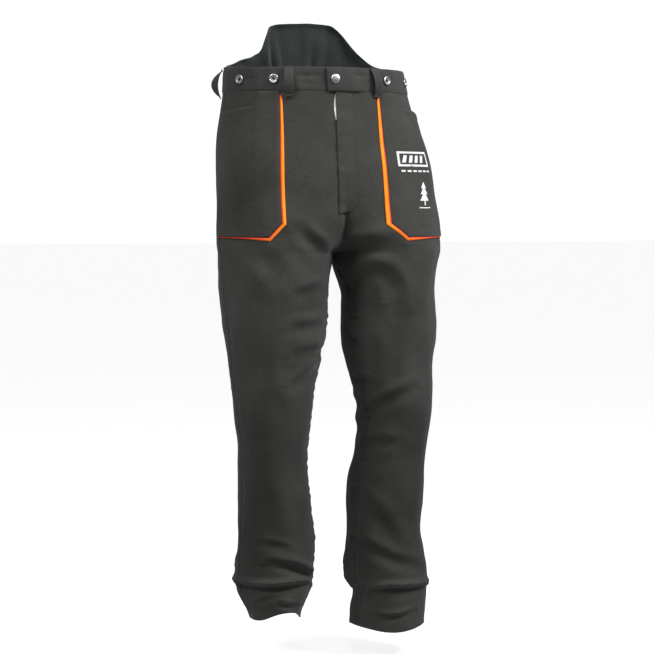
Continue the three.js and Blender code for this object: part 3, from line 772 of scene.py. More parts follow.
clothTop = -fit["bandHeight"] - 0.5 * mm
replacedUpper = {
    "front": ["front_panel", "groin_fold", "thigh_front"],
    "back": ["seat_panel", "seat_fold", "thigh_back"],
}
replacedLower = {"front": ["shin_front"], "back": ["knee_fold", "shin_back"]}
for name, side in sides.items():
    for facing in ("front", "back"):
        upperCloth = legCloth(f"{facing}Upper_{name}", side, facing, clothTop, fit["legSplit"], True)
        declareCloth(upperCloth, leg["upperFlat"][facing], clothTop - fit["legSplit"])
        bendAtHip(upperCloth)
        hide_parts(*(f"{node}_{name}" for node in replacedUpper[facing]))
        lowerCloth = legCloth(f"{facing}Lower_{name}", side, facing, fit["legSplit"], -fit["outseam"], False)
        declareCloth(lowerCloth, leg["lowerFlat"][facing], fit["legSplit"] - hemLine(side, 0))
        bendAtKnee(lowerCloth)
        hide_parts(*(f"{node}_{name}" for node in replacedLower[facing]))
print("leg cloth laid")

# cut pads inside the fronts: quilted, in an upper and a lower piece
pad = {"from": 0.09, "to": 0.91, "top": -228 * mm, "stop": {-1: -975 * mm, 1: -1008 * mm}, "width": 0.28,
       "lift": -3.2 * mm, "thick": 5 * mm, "channel": 42 * mm, "puff": 1.2 * mm}


def cutPad(name, side, top, bottom):
    length = top - bottom

    def place(u, v):
        z = bottom + length * v
        share = pad["from"] + (pad["to"] - pad["from"]) * u
        angle = panelAngle(side, "front", z, share)
        channels = np.abs(np.sin(math.pi * u * pad["width"] / pad["channel"]))
        puff = pad["puff"] * (channels**0.5 - 1)
        return clothPoint(side, angle, z, pad["lift"] + puff, 0.9)

    made = clothPiece(name, 64, int(length / (6 * mm)), place, (pad["width"], length), pad["thick"],
                      awayFromLeg(side), looks["pad"])
    return made


for name, side in sides.items():
    upperPad = cutPad(f"cutPadUpper_{name}", side, pad["top"], fit["legSplit"])
    bendAtHip(upperPad)
    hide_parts(f"cut_pad_hip_{name}", f"cut_pad_thigh_{name}")
    lowerPad = cutPad(f"cutPadLower_{name}", side, fit["legSplit"], pad["stop"][side])
    bendAtKnee(lowerPad)
    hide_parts(f"cut_pad_shin_{name}")
print("cut pads quilted")

# every stitch is a short rounded bar on the cloth
sewing = {"pitch": 3.3 * mm, "length": 2.5 * mm, "width": 0.75 * mm, "height": 0.55 * mm, "lift": 0.35 * mm,
          "felled": (3 * mm, 9 * mm), "hem": 22 * mm, "clear": 5 * mm}


def oneStitch():
    deselect()
    bpy.ops.mesh.primitive_uv_sphere_add(segments=6, ring_count=4, radius=0.5)
    stitch = bpy.context.object
    points = coordinates(stitch) * np.array([sewing["width"], sewing["height"], sewing["length"]])
    faces = [tuple(p.vertices) for p in stitch.data.polygons]
    bpy.data.objects.remove(stitch)
    return points, faces


stitchPoints, stitchFaces = oneStitch()


def sew(name, lines):
    # each line is (points along it, the same points 1 mm further out), as seamOn gives it
    allPoints, allFaces, start = [], [], 0
    for path, outer in lines:
        steps = np.linalg.norm(np.diff(path, axis=0), axis=1)
        along = np.concatenate([[0], np.cumsum(steps)])
        count = max(int(along[-1] / sewing["pitch"]), 1)
        places = (np.arange(count) + 0.5) * sewing["pitch"]
        at = np.stack([np.interp(places, along, path[:, k]) for k in range(3)], axis=1)
        ahead = np.stack([np.interp(places + mm, along, path[:, k]) for k in range(3)], axis=1)
        behind = np.stack([np.interp(places - mm, along, path[:, k]) for k in range(3)], axis=1)
        out = np.stack([np.interp(places, along, outer[:, k] - path[:, k]) for k in range(3)], axis=1)
        tangent = ahead - behind
        tangent /= np.linalg.norm(tangent, axis=1)[:, None]
        out -= (out * tangent).sum(1)[:, None] * tangent
        out /= np.linalg.norm(out, axis=1)[:, None]
        sideways = np.cross(tangent, out)
        made = (
            at[:, None, :]
            + stitchPoints[None, :, 0:1] * sideways[:, None, :]
            + stitchPoints[None, :, 1:2] * out[:, None, :]
            + stitchPoints[None, :, 2:3] * tangent[:, None, :]
        )
        allPoints.append(made.reshape(-1, 3))
        for k in range(count):
            allFaces += [tuple(start + i for i in face) for face in stitchFaces]
            start += len(stitchPoints)
    mesh = bpy.data.meshes.new(name)
    mesh.from_pydata(np.concatenate(allPoints).tolist(), [], allFaces)
    obj = bpy.data.objects.new(name, mesh)
    bpy.context.scene.collection.objects.link(obj)
    mesh.polygons.foreach_set("use_smooth", [True] * len(mesh.polygons))
    mesh.materials.append(looks["thread"])
    faceOut(obj)
    return obj


def seamOn(place, *where):
    # a line to sew over the surface that place gives; the last of where is how far it lies off the surface
    *at, lift = where
    return place(*at, lift), place(*at, lift + mm)


def legSeams(side, top, bottom):
    z = np.arange(top, bottom, -3 * mm)
    lines = []
    width = section(side, z)["width"]
    for away in sewing["felled"]:
        # the outseam is felled towards the back
        lines.append(seamOn(clothPoint, side, panelAngle(side, "back", z, 0) - away / width, z, sewing["lift"]))
    if bottom < -fit["rise"]:
        below = z[z < -fit["rise"] - 6 * mm]
        inner = section(side, below)["width"]
        for away in sewing["felled"]:
            lines.append(seamOn(clothPoint, side, inseamAngle(below) + away / inner, below, sewing["lift"]))
    return lines


for name, side in sides.items():
    upperSeams = sew(f"seamsUpper_{name}", legSeams(side, clothTop, fit["legSplit"]))
    bendAtHip(upperSeams)
    hemAngle = np.linspace(-math.pi, math.pi, 160)
    hem = seamOn(clothPoint, side, hemAngle, hemLine(side, hemAngle) + sewing["hem"], sewing["lift"])
    lowerLines = legSeams(side, fit["legSplit"], hemLine(side, 0) + sewing["clear"])
    lowerSeams = sew(f"seamsLower_{name}", [*lowerLines, hem])
    bendAtKnee(lowerSeams)
print("seams sewn")

band = {"thick": 3.4 * mm, "lapLength": 14 * mm, "lapLift": 4.6 * mm, "lapTo": math.radians(8),
        "lapFrom": math.radians(23), "edge": 3 * mm, "underLap": 0.07, "radius": 145 * mm, "cell": 2.4 * mm}


def lapRaise(angle):
    return band["lapLift"] * (1 - smooth(np.maximum(angle, 0), band["lapTo"], band["lapFrom"]))


# dents along the band: (from, to) degrees, share of its height, depth in mm
bandDents = [
    (-27, -6, 0.62, 1.7),
    (-24, -8, 0.3, 0.8),
    (9, 25, 0.66, 1.5),
    (36, 60, 0.55, 0.7),
    (-70, -44, 0.5, 0.7),
]


def dentOf(angle, v):
    made = 0
    for start, end, at, depth in bandDents:
        degrees = np.degrees(angle)
        along = smooth(degrees, start, start + 6) * (1 - smooth(degrees, end - 6, end))
        made = made - depth * mm * along * bell(v - at, 0.09)
    return made


def bandLift(angle, v, raised):
    rounded = -1.3 * mm * np.abs(2 * v - 1) ** 9
    soft = 0.5 * mm * np.sin(angle * 13 + 1) * np.sin(math.pi * v) + 0.35 * mm * np.sin(angle * 29 + v * 4)
    return fit["bandProud"] + 0.4 * mm + rounded + soft + dentOf(angle, v) + (lapRaise(angle) if raised else 0)


def waistBand(name, start, end, raised):
    def place(u, v):
        angle = start + (end - start) * u
        return hoopPoint(angle, -fit["bandHeight"] * (1 - v), bandLift(angle, v, raised))

    arc = abs(end - start) * band["radius"]
    columns = int(arc / band["cell"])
    made = clothPiece(name, columns, 18, place, (arc, fit["bandHeight"]), band["thick"], awayFromWaist,
                      looks["band"])
    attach(made, "trunk")
    lines = []
    angle = np.linspace(start, end, 120)[2:-2]
    for v in (band["edge"] / fit["bandHeight"], 1 - band["edge"] / fit["bandHeight"]):
        z = np.full(len(angle), -fit["bandHeight"] * (1 - v))
        lines.append(seamOn(hoopPoint, angle, z, bandLift(angle, v, raised) + 0.2 * mm))
    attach(sew(f"{name}Stitches", lines), "trunk")
    return made


lapAngle = 2 * band["lapLength"] / fit["waistWidth"]
rightBand = waistBand("bandRight", band["underLap"], -math.pi / 2, False)
leftBand = waistBand("bandLeft", -lapAngle, math.pi / 2, True)
backBandRight = waistBand("bandBackRight", -math.pi / 2, -math.pi, False)
backBandLeft = waistBand("bandBackLeft", math.pi / 2, math.pi, False)
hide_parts("waistband_right")
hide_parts("waistband_left")
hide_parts("waistband_back")
for made, width in ((rightBand, 0.25), (leftBand, 0.26), (backBandRight, 0.25), (backBandLeft, 0.25)):
    declareCloth(made, width, fit["bandHeight"] * 1.05)
print("waistband on")

highBack = {"rise": 96 * mm, "reach": 82, "thick": 2.6 * mm, "pleats": [-19, -12, 6, 14], "pleatDepth": 6 * mm}
# degrees from the spine: share of the height; on the wearer's right the cloth is rolled over into a steep edge
backEdge = shaped([
    [-82, 0.04],
    [-60, 0.12],
    [-44, 0.25],
    [-30, 0.37],
    [-25.5, 0.47],
    [-23, 0.7],
    [-20, 0.88],
    [-15, 0.97],
    [-8, 1],
    [20, 1],
    [24, 0.97],
    [30, 0.82],
    [37, 0.58],
    [44, 0.38],
    [52, 0.21],
    [64, 0.1],
    [82, 0.04],
])


def highBackPoint(degrees, share, lift=0.0):
    height = highBack["rise"] * backEdge(degrees)[:, 0]
    turned = np.radians(degrees)
    angle = np.where(degrees < 0, -math.pi - turned, math.pi - turned)
    z = height * share
    out = fit["bandProud"] - 1.2 * mm + 6 * mm * z / highBack["rise"] + lift
    for pleat in highBack["pleats"]:
        fan = pleat * (1 + 0.35 * share)
        groove = bell(degrees - fan, 2.6) - 0.7 * bell(degrees - fan - 3.8, 2.6)
        out = out - highBack["pleatDepth"] * groove * (1 - share) ** 0.9 * smooth(height, 0.02, 0.07)
    rolled = bell(degrees + 22, 3.2) * smooth(share, 0.2, 0.5)
    out = out - 7 * mm * rolled
    out = out + 2.2 * mm * np.sin(degrees * 0.16 + 5 * share) * share
    out = out + 1.6 * mm * np.sin(degrees * 0.4 + 1) * share**2
    out = out - 3.5 * mm * smooth(share, 0.86, 1) ** 2  # the top edge rolls in
    points = hoopPoint(angle, 0 * z, out)
    points[:, 2] = 0.2 * mm + z
    return points


def placeHighBack(u, v):
    return highBackPoint(highBack["reach"] * (2 * u - 1), v)


highBackCloth = clothPiece("highBackKnit", 150, 48, placeHighBack, (0.36, highBack["rise"]), highBack["thick"],
                           awayFromWaist, looks["knit"])
declareCloth(highBackCloth, 0.40, 0.10)
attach(highBackCloth, "trunk")
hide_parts("high_back")
hemDegrees = np.linspace(-76, 76, 160)
backHem = seamOn(highBackPoint, hemDegrees, np.full(160, 0.9), 0.4 * mm)
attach(sew("highBackStitches", [backHem]), "trunk")
print("high back up")

beltLoop = {"width": 17 * mm, "height": 54 * mm, "thick": 1.7 * mm, "bow": 7.6 * mm, "sideBow": 12.5 * mm,
            "turn": 1.0, "angles": {"front": 28, "side": 102, "back": 146}}


def loopPoint(angle, share, across, bow, lift=0.0):
    z = 1 * mm - beltLoop["height"] * share
    wide = across * beltLoop["width"]
    bowed = arch((share - 0.07) / 0.86) ** 0.8
    # the widely bowed loops at the sides hang open towards the back
    turn = math.copysign(beltLoop["turn"], -angle) if bow > beltLoop["bow"] else 0
    away = fit["bandProud"] + 1.4 * mm + bow * bowed * (1 - turn * across) + lift
    one = np.full(len(share), angle)
    middle = hoopPoint(one, z, away)
    tangent = hoopPoint(one + 0.01, z, away) - hoopPoint(one - 0.01, z, away)
    tangent /= np.linalg.norm(tangent, axis=1)[:, None]
    return middle + tangent * wide[:, None]


def makeBeltLoop(name, node, angle, bow):
    def place(u, v):
        crown = 0.4 * mm * (1 - (2 * u - 1) ** 2)
        return loopPoint(angle, 1 - v, u - 0.5, bow, crown)

    size = (beltLoop["width"], beltLoop["height"])
    strap = clothPiece(name, 8, 36, place, size, beltLoop["thick"], awayFromWaist, looks["band"],
                       inward=False)
    bevel(strap, 0.4 * mm, 2, 50)
    declareCloth(strap, beltLoop["width"] * 1.1, beltLoop["height"] * 1.25)
    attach(strap, "trunk")
    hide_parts(node)
    share = np.linspace(0.03, 0.97, 40)
    lines = []
    for across in (-0.36, 0.36):
        lines.append(seamOn(loopPoint, angle, share, np.full(40, across), bow, beltLoop["thick"] + 0.3 * mm))
    for tack in (0.045, 0.075, 0.925, 0.955):
        across = np.linspace(-0.42, 0.42, 12)
        lines.append(seamOn(loopPoint, angle, np.full(12, tack), across, bow, beltLoop["thick"] + 0.4 * mm))
    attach(sew(f"{name}Stitches", lines), "trunk")


for name, side in sides.items():
    for where, degrees in beltLoop["angles"].items():
        bow = beltLoop["sideBow"] if where == "side" else beltLoop["bow"]
        makeBeltLoop(f"beltLoop_{name}_{where}", f"belt_loop_{name}_{where}", side * math.radians(degrees), bow)
makeBeltLoop("beltLoop_centreBack", "belt_loop_back", math.pi, beltLoop["bow"])
print("belt loops on")

pocket = {"fromCentre": {-1: (97 * mm, 107 * mm), 1: (88 * mm, 99 * mm)}, "bottom": 306 * mm, "chamfer": 26 * mm,
          "chamferShare": 1 / 6, "mouthFrom": 0.27, "mouthDrop": 24 * mm, "mouthSlant": 14 * mm, "gap": 1.3 * mm,
          "bulge": 5.5 * mm, "thick": 1.3 * mm}
pocketTop = -fit["bandHeight"] - 0.6 * mm


def pocketAngle(side, share, z):
    at = section(side, z)
    top, foot = pocket["fromCentre"][side]
    flare = top + (foot - top) * smooth(-z, 0.0, 0.30)
    reach = flare + side * (fit["flySway"] * at["plane"] - at["centre"])
    innerEdge = np.arccos(np.clip(reach / at["width"], -1, 1))
    return innerEdge + (fit["outseamAngle"] - innerEdge) * share


def pocketSpan(share):
    mouth = smooth(share, pocket["mouthFrom"], pocket["mouthFrom"] + 0.08)
    slant = pocket["mouthSlant"] * np.maximum(share - pocket["mouthFrom"], 0) / (1 - pocket["mouthFrom"])
    top = pocketTop - mouth * pocket["mouthDrop"] - slant
    bottom = -pocket["bottom"] + pocket["chamfer"] * np.maximum(0, 1 - share / pocket["chamferShare"])
    return top, bottom


def pocketLift(share, drop):
    belly = arch(share) ** 0.8 * arch(drop) ** 0.8
    mouth = smooth(share, pocket["mouthFrom"], pocket["mouthFrom"] + 0.3) * (1 - drop) ** 3
    mouth = mouth * (1 - smooth(share, 0.85, 1))
    return pocket["gap"] + pocket["bulge"] * np.maximum(belly, 0.7 * mouth)


def pocketPoint(side, share, drop, lift=0.0):
    top, bottom = pocketSpan(share)
    z = top + (bottom - top) * drop
    angle = pocketAngle(side, share, z)
    away = pocketLift(share, drop)
    buckle = 0.9 * mm * np.sin(9 * share + 5 * drop) * np.sin(math.pi * drop) * arch(share)
    return clothPoint(side, angle, z, away + buckle + lift, 0.8)


def patchPocket(name, side):
    def place(u, v):
        # the folded edge is thicker than the rest
        edge = np.minimum.reduce([u * 150, (1 - u) * 150, v * 230, (1 - v) * 230])
        fold = 0.5 * mm * (1 - smooth(edge, 7, 10)) - 0.9 * mm * (1 - smooth(edge, 0, 2.5)) ** 2
        return pocketPoint(side, u, 1 - v, pocket["thick"] + fold)

    made = clothPiece(f"patchPocket_{name}", 72, 100, place, (0.16, 0.26), pocket["thick"], awayFromLeg(side),
                      looks["shell"])
    declareCloth(made, 0.19, 0.28)
    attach(made, "trunk")
    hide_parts(f"patch_pocket_{name}")
    lines = []
    long, wide = np.linspace(0.02, 0.985, 110), np.linspace(0.02, 0.985, 90)
    mouthShare = np.linspace(pocket["mouthFrom"] + 0.07, 0.98, 60)
    proud = pocket["thick"] + 0.45 * mm
    for inset in (0.022, 0.062):
        down, across = inset * 0.62, inset
        for share, drop in (
            (np.full(110, across), long),
            (wide, np.full(90, 1 - down)),
            (mouthShare, np.full(60, down)),
        ):
            lines.append(seamOn(pocketPoint, side, share, drop, proud))
    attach(sew(f"pocketStitches_{name}", lines), "trunk")


# the piping's path beside the pocket: place along it, (share, height) at its inner and outer edges
piping = {"thick": 2.4 * mm}
low = -pocket["bottom"]
chamferTop = low + pocket["chamfer"]
pipingPath = [
    (0.0, (-0.003, pocketTop - 7 * mm), (-0.022, pocketTop - 7 * mm)),
    (0.06, (-0.003, pocketTop - 16 * mm), (-0.036, pocketTop - 16 * mm)),
    (0.3, (-0.003, pocketTop - 95 * mm), (-0.046, pocketTop - 95 * mm)),
    (0.55, (-0.003, chamferTop - 1 * mm), (-0.052, chamferTop - 3 * mm)),
    (0.65, (pocket["chamferShare"] - 0.003, low - 1 * mm), (pocket["chamferShare"] - 0.014, low - 7 * mm)),
    (0.76, (0.42, low - 0.6 * mm), (0.42, low - 3.6 * mm)),
    (0.9, (0.75, low - 0.6 * mm), (0.75, low - 1.6 * mm)),
    (1.0, (0.97, low - 0.6 * mm), (0.97, low - 1.2 * mm)),
]


def pipingEdge(which, u):
    at = [step[0] for step in pipingPath]
    values = np.array([step[which] for step in pipingPath])
    return np.interp(u, at, values[:, 0]), np.interp(u, at, values[:, 1])


def pocketPiping(name, side):
    def place(u, v):
        beside, outside = pipingEdge(1, u), pipingEdge(2, u)
        share = beside[0] + (outside[0] - beside[0]) * v
        z = beside[1] + (outside[1] - beside[1]) * v
        crown = piping["thick"] * (0.25 + 0.75 * arch(v * 0.8 + 0.18))
        return clothPoint(side, pocketAngle(side, share, z), z, 0.6 * mm + crown, 0.8)

    made = clothPiece(f"pocketPiping_{name}", 200, 12, place, (0.40, 1.0), 0.8 * mm, awayFromLeg(side),
                      looks["piping"])
    declareCloth(made, 0.012, 0.40)
    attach(made, "trunk")
    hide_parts(f"pocket_piping_{name}")


for name, side in sides.items():
    patchPocket(name, side)
    pocketPiping(name, side)
print("patch pockets on")

backPocket = {"middle": 141, "width": 148 * mm, "top": 96 * mm, "bottom": 245 * mm, "bulge": 5 * mm,
              "thick": 1.4 * mm, "flap": 52 * mm, "flapOver": 5 * mm, "flapTop": 80 * mm, "flapLift": 12.2 * mm,
              "flapThick": 2.2 * mm}
degreesPerMetre = 360 / (math.pi * (fit["seatWidth"] + fit["waistDepth"]) / 2)


def backPoint(across, z, lift):
    angle = -np.radians(backPocket["middle"] + across * degreesPerMetre)
    return clothPoint(-1, math.pi / 2 - np.abs(angle), z, lift, 0.8)


def backPocketPoint(u, v, lift=0.0):
    point = 18 * mm * (1 - np.abs(2 * u - 1)) * (1 - v)
    z = -backPocket["bottom"] + (backPocket["bottom"] - backPocket["top"]) * v - point
    standOff = arch(u) * np.maximum(arch(v), 0.75 * smooth(v, 0.5, 1))
    away = pocket["gap"] + backPocket["bulge"] * standOff + backPocket["thick"] + lift
    return backPoint(backPocket["width"] * (u - 0.5), z, away)


def flapPoint(u, v, lift=0.0):
    reach = backPocket["width"] / 2 + backPocket["flapOver"]
    drop = backPocket["flap"] * (1 - v) * (1 - 0.22 * np.abs(2 * u - 1) ** 3)
    rest = smooth(1 - v, 0, 0.35) * arch(0.06 + 0.88 * u) ** 0.6
    away = pocket["gap"] + (backPocket["flapLift"] - pocket["gap"] - 3 * mm) * rest + backPocket["thick"] + lift
    return backPoint(reach * (2 * u - 1), -backPocket["flapTop"] - drop, away)


backPocketCloth = clothPiece("backPocketPatch", 56, 60, backPocketPoint, (0.148, 0.16),
                             backPocket["thick"], awayFromLeg(-1), looks["shell"])
declareCloth(backPocketCloth, 0.16, 0.18)
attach(backPocketCloth, "trunk")
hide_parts("back_pocket")
flapCloth = clothPiece("backPocketFlapCloth", 60, 24, flapPoint, (0.158, 0.052), backPocket["flapThick"],
                       awayFromLeg(-1), looks["shell"])
declareCloth(flapCloth, 0.175, 0.062)
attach(flapCloth, "back_pocket_flap")
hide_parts("back_pocket_flap")
stretch = np.linspace(0.03, 0.97, 80)
pocketLines, flapLines = [], []
for inset in (0.02, 0.06):
    for u, v in (
        (np.full(80, inset), stretch),
        (np.full(80, 1 - inset), stretch),
        (stretch, np.full(80, inset)),
    ):
        pocketLines.append(seamOn(backPocketPoint, u, v, 0.2 * mm))
        flapLines.append(seamOn(flapPoint, u, 1.6 * v if v[0] == v[-1] else v, 0.2 * mm))
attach(sew("backPocketStitches", pocketLines), "trunk")
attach(sew("backFlapStitches", flapLines), "back_pocket_flap")
print("back pocket on")

fly = {"length": 220 * mm, "facing": 36 * mm, "thick": 1.4 * mm, "lift": 2.2 * mm, "curve": 26 * mm,
       "driftTo": 12 * mm}


def flyEdge(z):
    # the lap's edge leaves the centre line a little as it goes down
    plane = section(1, z)["plane"]
    share = np.clip((-z - fit["bandHeight"]) / fly["length"], 0, 1)
    return fit["flySway"] * plane + 1 * mm - fly["driftTo"] * 0.15 * share


def flyPoint(across, down, lift=0.0):
    z = clothTop - fly["length"] * down
    x = flyEdge(z) + across
    plain = frontPoint(x, z)
    return frontPoint(x, z, lift + 0.8 * drapeOf(plain))


def flyWidth(down):
    # straight, then curving back to the edge at the bottom
    bend = np.clip((down * fly["length"] - (fly["length"] - fly["curve"])) / fly["curve"], 0, 1)
    return 2 * mm + fly["facing"] * np.sqrt(np.maximum(1 - bend**2.2, 0))


def placeFly(u, v):
    down = 1 - v
    across = flyWidth(down) * u
    edge = smooth(u, 0, 0.1)
    lift = fly["lift"] * (1 - smooth(u, 0.35, 1)) + 0.35 * mm + 0.5 * mm * edge * (1 - u)
    ripple = 0.5 * mm * np.sin(down * 31) * (1 - u) + 0.35 * mm * np.sin(down * 57 + 2) * (1 - u)
    return flyPoint(across, down, lift + ripple)


flyCloth = clothPiece("flyPlacket", 28, 110, placeFly, (0.04, fly["length"]), fly["thick"], forwards,
                      looks["shell"])
declareCloth(flyCloth, 0.045, 0.23)
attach(flyCloth, "trunk")
down = np.linspace(0.0, 1.0, 140)
flyLines = []
for inset in (3 * mm, 8 * mm):
    across = np.maximum(flyWidth(down) - inset, 0.5 * mm)
    keep = down < 1 - inset / fly["length"]
    flyLines.append(seamOn(flyPoint, across[keep], down[keep], fly["lift"] * 0.2 + 0.7 * mm))
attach(sew("flyStitches", flyLines), "trunk")

sliver = {"width": 4.2 * mm, "tape": 10 * mm, "top": 0.02, "bottom": 0.235}


def placeSliver(u, v):
    down = sliver["bottom"] + (sliver["top"] - sliver["bottom"]) * v
    taper = arch(0.08 + 0.92 * v) ** 0.6
    return flyPoint(-sliver["width"] * taper * (1 - u) + 0.8 * mm, down, 1.1 * mm)


sliverCloth = clothPiece("zipTapeEdge", 5, 40, placeSliver, (0.005, 0.05), 0.5 * mm, forwards,
                         looks["tape"])
declareCloth(sliverCloth, sliver["tape"], 0.05)
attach(sliverCloth, "trunk")
print("fly closed")

braceButton = {"radius": 8.2 * mm, "thick": 3 * mm, "rivet": 5.2 * mm, "shank": 4.6 * mm,
               "angles": {"front": 38, "side": 65, "back": 166}}
capButton = {"radius": 8.5 * mm, "thick": 1.5 * mm, "shank": 9.6 * mm}


def bandFrame(angle, lift):
    # a matrix on the band, its Z axis pointing out
    z = -fit["bandHeight"] / 2
    reach = fit["bandHeight"] / 2
    one = np.array([angle])
    up = Vector(hoopPoint(one, z + reach, lift)[0] - hoopPoint(one, z - reach, lift)[0]).normalized()
    level = Vector(hoopPoint(one, z, lift + mm)[0] - hoopPoint(one, z, lift)[0])
    across = up.cross(level).normalized()
    out = across.cross(up)
    basis = Matrix((across, up, out)).transposed().to_4x4()
    return Matrix.Translation(hoopPoint(one, z, lift)[0]) @ basis


def selectFaces(obj, test):
    bpy.ops.mesh.select_all(action="DESELECT")
    bpy.ops.object.mode_set(mode="OBJECT")
    for face in obj.data.polygons:
        face.select = bool(test(face))
    bpy.ops.object.mode_set(mode="EDIT")
    bpy.ops.mesh.select_mode(type="FACE")


def topFace(face):
    return face.normal.z > 0.9 and len(face.vertices) > 8


def cylinder(name, corners, radius, depth, middle):
    # left open for editing
    deselect()
    bpy.ops.mesh.primitive_cylinder_add(vertices=corners, radius=radius, depth=depth, location=(0, 0, middle))
    obj = bpy.context.object
    obj.name = obj.data.name = name
    bpy.ops.object.transform_apply(location=True, rotation=True, scale=True)
    bpy.ops.object.mode_set(mode="EDIT")
    return obj


def turnedButton(name, radius, thick, steps):
    # a disc whose top is inset and raised or pressed step by step
    obj = cylinder(name, 56, radius, thick, thick / 2)
    for inset, rise in steps:
        selectFaces(obj, topFace)
        bpy.ops.mesh.inset(thickness=inset, depth=0)
        bpy.ops.transform.translate(value=(0, 0, rise))
    bpy.ops.object.mode_set(mode="OBJECT")
    bevel(obj, 0.35 * mm, 3, 28)
    smoothFaces(obj, 50)
    return obj


def placeOn(obj, matrix):
    obj.data.transform(matrix)
    obj.data.update()


tack = {"shaft": 2.5 * mm, "head": 6 * mm, "thick": 1.1 * mm, "inset": 1.4 * mm, "crown": 0.5 * mm}


def shank(name, length):
    # the tube through the cloth and the tack inside the band
    obj = cylinder(name, 32, tack["shaft"], length, -length / 2 + 0.1 * mm)
    selectFaces(obj, lambda face: face.normal.z < -0.9)
    bpy.ops.mesh.extrude_region_move(TRANSFORM_OT_translate={"value": (0, 0, 0)})
    widening = tack["head"] / tack["shaft"]
    bpy.ops.transform.resize(value=(widening, widening, 1))
    bpy.ops.mesh.extrude_region_move(TRANSFORM_OT_translate={"value": (0, 0, -tack["thick"])})
    bpy.ops.mesh.inset(thickness=tack["inset"], depth=0)
    bpy.ops.transform.translate(value=(0, 0, -tack["crown"]))
    bpy.ops.object.mode_set(mode="OBJECT")
    bevel(obj, 0.25 * mm, 2, 40)
    smoothFaces(obj, 50)
    return obj


def joined(name, pieces):
    deselect()
    for obj in pieces:
        obj.select_set(True)
    bpy.context.view_layer.objects.active = pieces[0]
    bpy.ops.object.join()
    pieces[0].name = pieces[0].data.name = name
    return pieces[0]


# (inset, rise) of each step in turn
ringSteps = [(0.7 * mm, 0.5 * mm), (0.8 * mm, 0.2 * mm), (0.7 * mm, -0.4 * mm), (0.6 * mm, -1.7 * mm)]
ring = turnedButton("braceRing", braceButton["radius"], braceButton["thick"] - 0.4 * mm, ringSteps)
ring.data.materials.append(looks["nickel"])
ringShank = shank("braceShank", braceButton["shank"])
ringShank.data.materials.append(looks["nickel"])
rivetSteps = [(2.2 * mm, -0.3 * mm), (0.8 * mm, 0.7 * mm)]
rivet = turnedButton("braceRivet", braceButton["rivet"], 1.2 * mm, rivetSteps)
rivet.data.materials.append(looks["darkMetal"])
for name, side in sides.items():
    for where, degrees in braceButton["angles"].items():
        matrix = bandFrame(side * math.radians(degrees), fit["bandProud"] + 0.9 * mm)
        copies = []
        for original in (ring, ringShank, rivet):
            copy = original.copy()
            copy.data = original.data.copy()
            bpy.context.scene.collection.objects.link(copy)
            placeOn(copy, matrix)
            copies.append(copy)
        button = joined(f"braceButton_{name}_{where}", copies)
        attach(button, "trunk")
        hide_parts(f"brace_button_{name}_{where}")
for original in (ring, ringShank, rivet):
    bpy.data.objects.remove(original)

capSteps = [(0.5 * mm, 0.5 * mm), (1.0 * mm, 0.45 * mm), (1.6 * mm, 0.4 * mm), (2.0 * mm, 0.25 * mm),
            (1.6 * mm, 0.1 * mm)]
cap = turnedButton("waistCap", capButton["radius"], capButton["thick"], capSteps)
cap.data.materials.append(looks["nickel"])
capShank = shank("waistShank", capButton["shank"])
capShank.data.materials.append(looks["nickel"])
capMatrix = bandFrame(0, fit["bandProud"] + band["lapLift"] + 0.9 * mm)
for obj in (cap, capShank):
    placeOn(obj, capMatrix)
waistButton = joined("waistButtonCap", [cap, capShank])
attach(waistButton, "waist_button")
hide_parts("waist_button")
print("buttons set")

# prints on the left pocket: plain shapes, no words
prints = {"lift": 0.55 * mm, "thick": 0.25 * mm}


def inkPlace(share, z):
    top, bottom = pocketSpan(share)
    return pocketPoint(1, share, (top - z) / (top - bottom), pocket["thick"] + prints["lift"])


def inkShape(name, outline, holes=()):
    # a flat outline in (share of the pocket's width, height in mm), laid on the pocket's cloth
    curve = bpy.data.curves.new(name, "CURVE")
    curve.dimensions = "2D"
    curve.fill_mode = "BOTH"
    for loop in (outline, *holes):
        spline = curve.splines.new("POLY")
        spline.points.add(len(loop) - 1)
        for point, (x, y) in zip(spline.points, loop):
            point.co = (x, y * mm, 0, 1)
        spline.use_cyclic_u = True
    obj = bpy.data.objects.new(name, curve)
    bpy.context.scene.collection.objects.link(obj)
    makeActive(obj)
    bpy.ops.object.convert(target="MESH")
    obj = bpy.context.object
    bpy.ops.object.mode_set(mode="EDIT")
    bpy.ops.mesh.select_all(action="SELECT")
    bpy.ops.mesh.subdivide(number_cuts=3)
    bpy.ops.object.mode_set(mode="OBJECT")
    flat = coordinates(obj)
    moveTo(obj, inkPlace(flat[:, 0], flat[:, 1]))
    middle = obj.data.polygons[0]
    if middle.normal.dot(Vector(awayFromLeg(1)(middle.center))) < 0:
        obj.data.flip_normals()
    finishWith(obj, "SOLIDIFY", thickness=prints["thick"], offset=-1)
    obj.data.materials.append(looks["print"])
    obj.name = obj.data.name = name
    return obj


def slab(x0, x1, z0, z1, lean=0.0):
    steps = np.linspace(0, 1, 7)
    top = [(x0 + (x1 - x0) * s + lean, z0) for s in steps]
    bottom = [(x1 + (x0 - x1) * s, z1) for s in steps]
    return [*top, *bottom]


